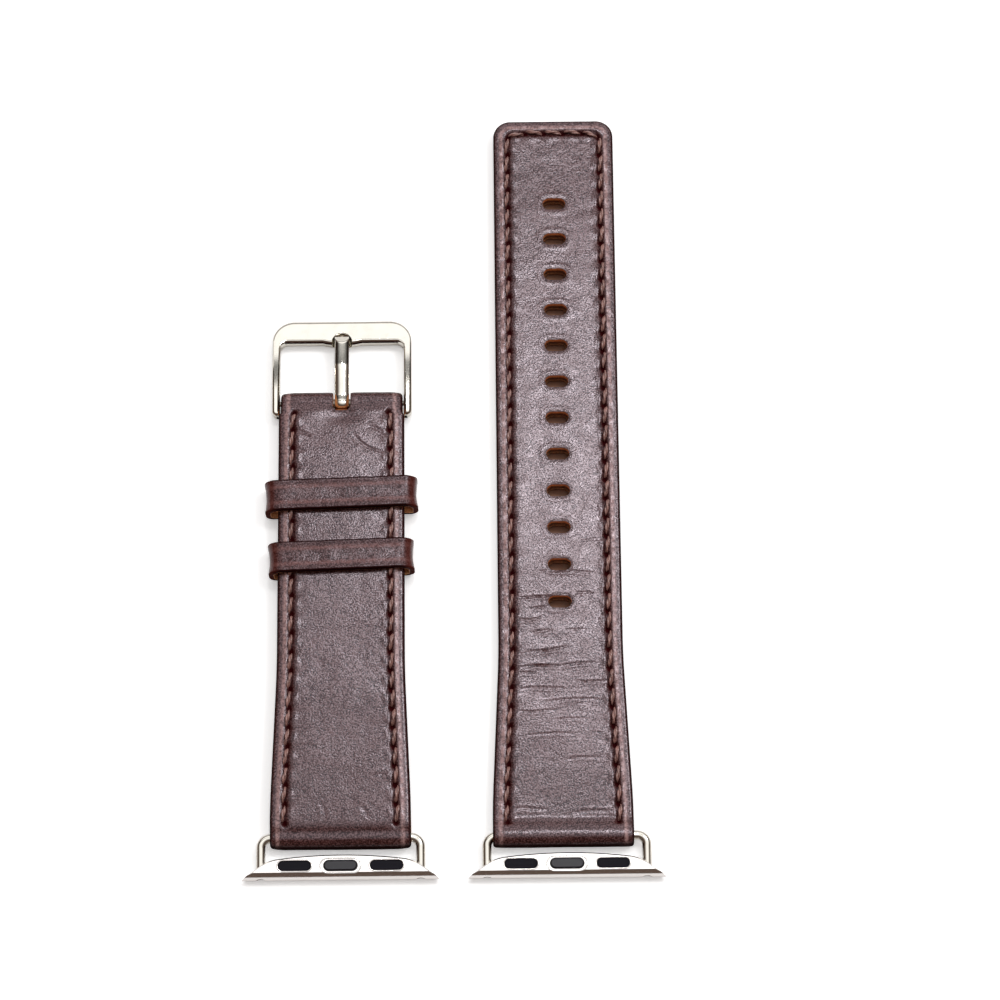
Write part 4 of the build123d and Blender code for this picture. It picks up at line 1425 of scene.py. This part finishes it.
# Colours of the grain side: the dye, its pores, pebble tops painted lighter as tone and highlight,
# ridges painted lighter as wear and highlight, edge paint, painted shade in folds, grooves and hole
# rims, and raw fibre
MAROON = colour(53, 22, 19)
MAROON_BROAD = colour(66, 31, 28)
MAROON_CLOUD = colour(78, 43, 40)
PORE = colour(24, 8, 8)
PEBBLE_TONE_AND_HIGHLIGHT = colour(104, 74, 74)
RIDGE_WEAR_AND_HIGHLIGHT = colour(176, 138, 134)
KEEPER_RIDGE_WEAR_AND_HIGHLIGHT = colour(122, 80, 76)
KEEPER_END = colour(84, 34, 26)
EDGE_PAINT = colour(34, 9, 9)
FOLD_PAINTED_SHADE = colour(30, 10, 8)
GROOVE_PAINTED_SHADE = colour(46, 7, 9)
RIM_PAINTED_SHADE = colour(38, 12, 7)
FIBRE_DARK = colour(212, 136, 92)
FIBRE_PALE = colour(250, 188, 134)
GRAIN_SHEEN = colour(253, 242, 251)

grain = grain_material("grain_leather", 0.76)
keeper_grain = grain_material("keeper_leather", 0.45, 0.8)
lining = lining_material()
core = core_material()
waxed = thread_material()
polished = metal_material("polished_steel", colour(226, 221, 211), 0.06, 0.12, 0.05)
satin = metal_material("lug_steel", colour(240, 235, 232), 0.12, 0.2, 0.1, (0.25, 3.0, 3.0))
plain = metal_material("bar_steel", colour(120, 114, 108), 0.25, 0.4, 0.1)
rubber = plastic_material("pad_rubber", colour(18, 16, 24), 0.5, 0.65, 4.0, 0.1)
button = plastic_material("button_black", colour(20, 17, 26), 0.3, 0.42, 3.0, 0.4)


# Pieces


def stand_in(piece, body, node, material):
    """Dress a piece, let it ride on its body, and hide the node it stands for."""
    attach(piece, body)
    if node:
        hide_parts(node)
    dress(piece, material)


def build_half(half, outer, low_seam, centre_x, width, floor_z, openings):
    """The leather and thread of a half, which lies on floor_z."""
    sheet, seam, route = outer()
    lining_z = floor_z + lining_ply
    top_thread = thread(f"{half}_thread_top", seam, on_route(route))
    lining_sheet = flat_ply(f"{half}_lining_sheet", f"{half}_lining", centre_x, width, floor_z,
                            lining_z, openings, low_seam, LINING_STEP)
    core_sheet = flat_ply(f"{half}_core", f"{half}_filler", centre_x, width, lining_z,
                          floor_z + body_thick - ply, openings, None, CORE_STEP)
    low_thread = thread(f"{half}_thread_under", low_seam, under(floor_z))
    for piece, node, material, slot in (
        (sheet, f"{half}_outer_leather", grain, "grain_leather"),
        (lining_sheet, f"{half}_lining", lining, "lining_leather"),
        (core_sheet, f"{half}_filler", core, "core_leather"),
        (top_thread, f"{half}_stitching", waxed, "thread"),
        (low_thread, None, waxed, "thread"),
    ):
        stand_in(piece, f"{half}_strap", node, material)


build_half("long", long_outer, long_under_seam(), long_x, long_width, long_floor,
           hole_places())
build_half("short", short_outer, short_under_seam(), short_x, short_width, short_floor, [])
for name, seed in (("upper_keeper", 41), ("lower_keeper", 47)):
    stand_in(keeper(f"{name}_band", name, seed), name, name, keeper_grain)
stand_in(buckle_frame(), "buckle", "buckle_frame", polished)
stand_in(buckle_tongue(), "tongue", "buckle_tongue", polished)
for half in ("short", "long"):
    for place in ("lug_pad_left", "lug_pad_right", "lock_button"):
        ring = lip(f"{half}_{place}_lip", f"{half}_{place}")
        stand_in(ring, f"{half}_lug", None, satin)

lug_looks = {
    "lug_bar": satin,
    "hoop": polished,
    "hoop_screw_left": satin,
    "hoop_screw_right": satin,
    "lug_pad_left": rubber,
    "lug_pad_right": rubber,
    "lock_button": button,
    "lock_cover": satin,
    "lock_leaf_spring": plain,
}
node_looks = {f"spring_bar_{part}": plain for part in ("tube", "spring", "pin_left", "pin_right")}
for half in ("short", "long"):
    node_looks |= {f"{half}_{part}": look for part, look in lug_looks.items()}
for name, look in node_looks.items():
    node = frame["nodes"][name]
    dress(node, look)
    node.data.polygons.foreach_set("use_smooth", [True] * len(node.data.polygons))
    node.data.set_sharp_from_angle(angle=radians(28))


# Stage, lamps and camera

FLOOR_HALF = 600.0
FLOOR_ROUGHNESS = 0.9
FLOOR_WHITE = (0.95, 0.95, 0.95, 1.0)
# painted shade: the floor's colour where the size holes enclose it
FLOOR_PAINTED_HOLE_SHADE = (0.21, 0.105, 0.065, 1.0)
FLOOR_TO_CAMERA = 0.36
FLOOR_TO_GLOSS = 0.06
OPEN_REACH = 3.0
OPEN_RANGE = (0.45, 0.9)
HOLE_ROW_MIDDLE = tip_y - tip_to_first_hole - (hole_count - 1) * hole_pitch / 2
HOLE_ROW = (
    ((1, 0, 0), long_x, 2 * hole_half_x),
    ((0, 1, 0), HOLE_ROW_MIDDLE, hole_count * hole_pitch / 2),
)
SKY_AXIS = (0.09, 0.45, 0.86)
SKY_DOME = (0.5, 0.92, 0.12, 1.45)
SKY_WARMTH = (0.4, 0.75)
SKY_WARM = (1.0, 0.72, 0.58, 1.0)
BEAM_TILT = radians(22.8)
BEAM_EDGE = (0.032, 0.08, 0.18, 1.0)
KEY_LAMP = ((0.055, 0.256, 0.793), 0.11, 0.95)
SIDE_LAMP = ((0.42, 0.19, 0.74), 0.2, 1.6)
PHOTO_SIZE = 1000
VIEW_DISTANCE = 600.0
VIEW_TILT = radians(17.5)
VIEW_ROLL = radians(0.6)
PIXELS_PER_MM = 6.187
SENSOR = 36.0
HOOP_TO_VIEW = 55.83
VIEW_CENTRE = (7.8, hoop_y + HOOP_TO_VIEW, 0.0)


def floor():
    """A floor that stays white away from the object's shadow; under the size holes it is painted a
    dark brown shade.
    """
    half = FLOOR_HALF
    corners = [(-half, -half, 0), (half, -half, 0), (half, half, 0), (-half, half, 0)]
    plane = make_object("floor", corners, [(0, 1, 2, 3)])
    material, add = new_material("floor")
    tree = material.node_tree
    shader = tree.nodes["Principled BSDF"]
    place = add("ShaderNodeNewGeometry").outputs["Position"]
    # painted shade: the floor is painted dark brown, and loses its camera glow, where the size
    # holes enclose it
    seen = add("ShaderNodeAmbientOcclusion", {"Distance": OPEN_REACH * MM}, samples=8).outputs["AO"]
    for axis, middle, reach in HOLE_ROW:
        beside = maths(add, "COMPARE", along_axis(add, place, axis), middle * MM, reach * MM)
        seen = maths(add, "ADD", seen, maths(add, "SUBTRACT", 1.0, beside))
    unshaded_share = ramp(add, seen, *OPEN_RANGE, smoothed=False)
    floor_with_painted_shade = mix(add, unshaded_share, FLOOR_PAINTED_HOLE_SHADE, FLOOR_WHITE)
    give(tree, shader, {"Base Color": floor_with_painted_shade, "Roughness": FLOOR_ROUGHNESS})
    light = add("ShaderNodeLightPath").outputs
    strength = maths(add, "MULTIPLY_ADD", light["Is Camera Ray"],
                     maths(add, "MULTIPLY", unshaded_share, FLOOR_TO_CAMERA),
                     maths(add, "MULTIPLY", light["Is Glossy Ray"], FLOOR_TO_GLOSS))
    glow = add("ShaderNodeEmission", {"Color": WHITE, "Strength": strength})
    both = add("ShaderNodeAddShader", {0: shader.outputs[0], 1: glow.outputs[0]})
    give(tree, tree.nodes["Material Output"], {"Surface": both.outputs[0]})
    plane.data.materials.append(material)


def world():
    """White to the camera; otherwise a bright dome with warm dark low sides and a dark beam."""
    sky = bpy.data.worlds.new("studio")
    sky.use_nodes = True
    bpy.context.scene.world = sky
    add = adder(sky.node_tree)
    where = add("ShaderNodeTexCoord").outputs["Generated"]
    dome = along_axis(add, where, Vector(SKY_AXIS).normalized())
    off_beam = maths(add, "SUBTRACT", along_axis(add, where, (0, 1, 0)), sin(BEAM_TILT))
    strength = maths(add, "MULTIPLY", ramp(add, dome, *SKY_DOME),
                     ramp(add, maths(add, "ABSOLUTE", off_beam), *BEAM_EDGE))
    seen = add("ShaderNodeLightPath").outputs["Is Camera Ray"]
    tint = layered(add, SKY_WARM, (ramp(add, dome, *SKY_WARMTH), WHITE), (seen, WHITE))
    strength = add("ShaderNodeMix", {"Factor": seen, 2: strength, 3: 1.0}).outputs[0]
    background = sky.node_tree.nodes["Background"]
    give(sky.node_tree, background, {"Color": tint, "Strength": strength})


def lamp(name, place, size, power):
    """A soft square lamp that faces the middle of the object."""
    data = bpy.data.lights.new(name, "AREA")
    data.shape = "SQUARE"
    data.size = size
    data.energy = power
    piece = bpy.data.objects.new(name, data)
    bpy.context.scene.collection.objects.link(piece)
    piece.location = place
    piece.rotation_mode = "QUATERNION"
    piece.rotation_quaternion = Vector(place).to_track_quat("Z", "Y")


def camera():
    """The photograph's view: from the lugs' side, close to straight down."""
    data = bpy.data.cameras.new("camera")
    data.sensor_width = SENSOR
    data.lens = PIXELS_PER_MM * VIEW_DISTANCE * SENSOR / PHOTO_SIZE
    data.clip_start = 0.05
    data.clip_end = 5.0
    piece = bpy.data.objects.new("camera", data)
    bpy.context.scene.collection.objects.link(piece)
    right = Vector((1, 0, 0))
    up = Vector((0, cos(VIEW_TILT), sin(VIEW_TILT)))
    back = Vector((0, -sin(VIEW_TILT), cos(VIEW_TILT)))
    x_axis = right * cos(VIEW_ROLL) - up * sin(VIEW_ROLL)
    y_axis = right * sin(VIEW_ROLL) + up * cos(VIEW_ROLL)
    turn = Matrix((x_axis, y_axis, back)).transposed()
    place = (Vector(VIEW_CENTRE) + back * VIEW_DISTANCE) * MM
    piece.matrix_world = Matrix.Translation(place) @ turn.to_4x4()
    bpy.context.scene.camera = piece


floor()
world()
lamp("key", *KEY_LAMP)
lamp("side", *SIDE_LAMP)
camera()
bpy.context.scene.view_settings.view_transform = "Standard"
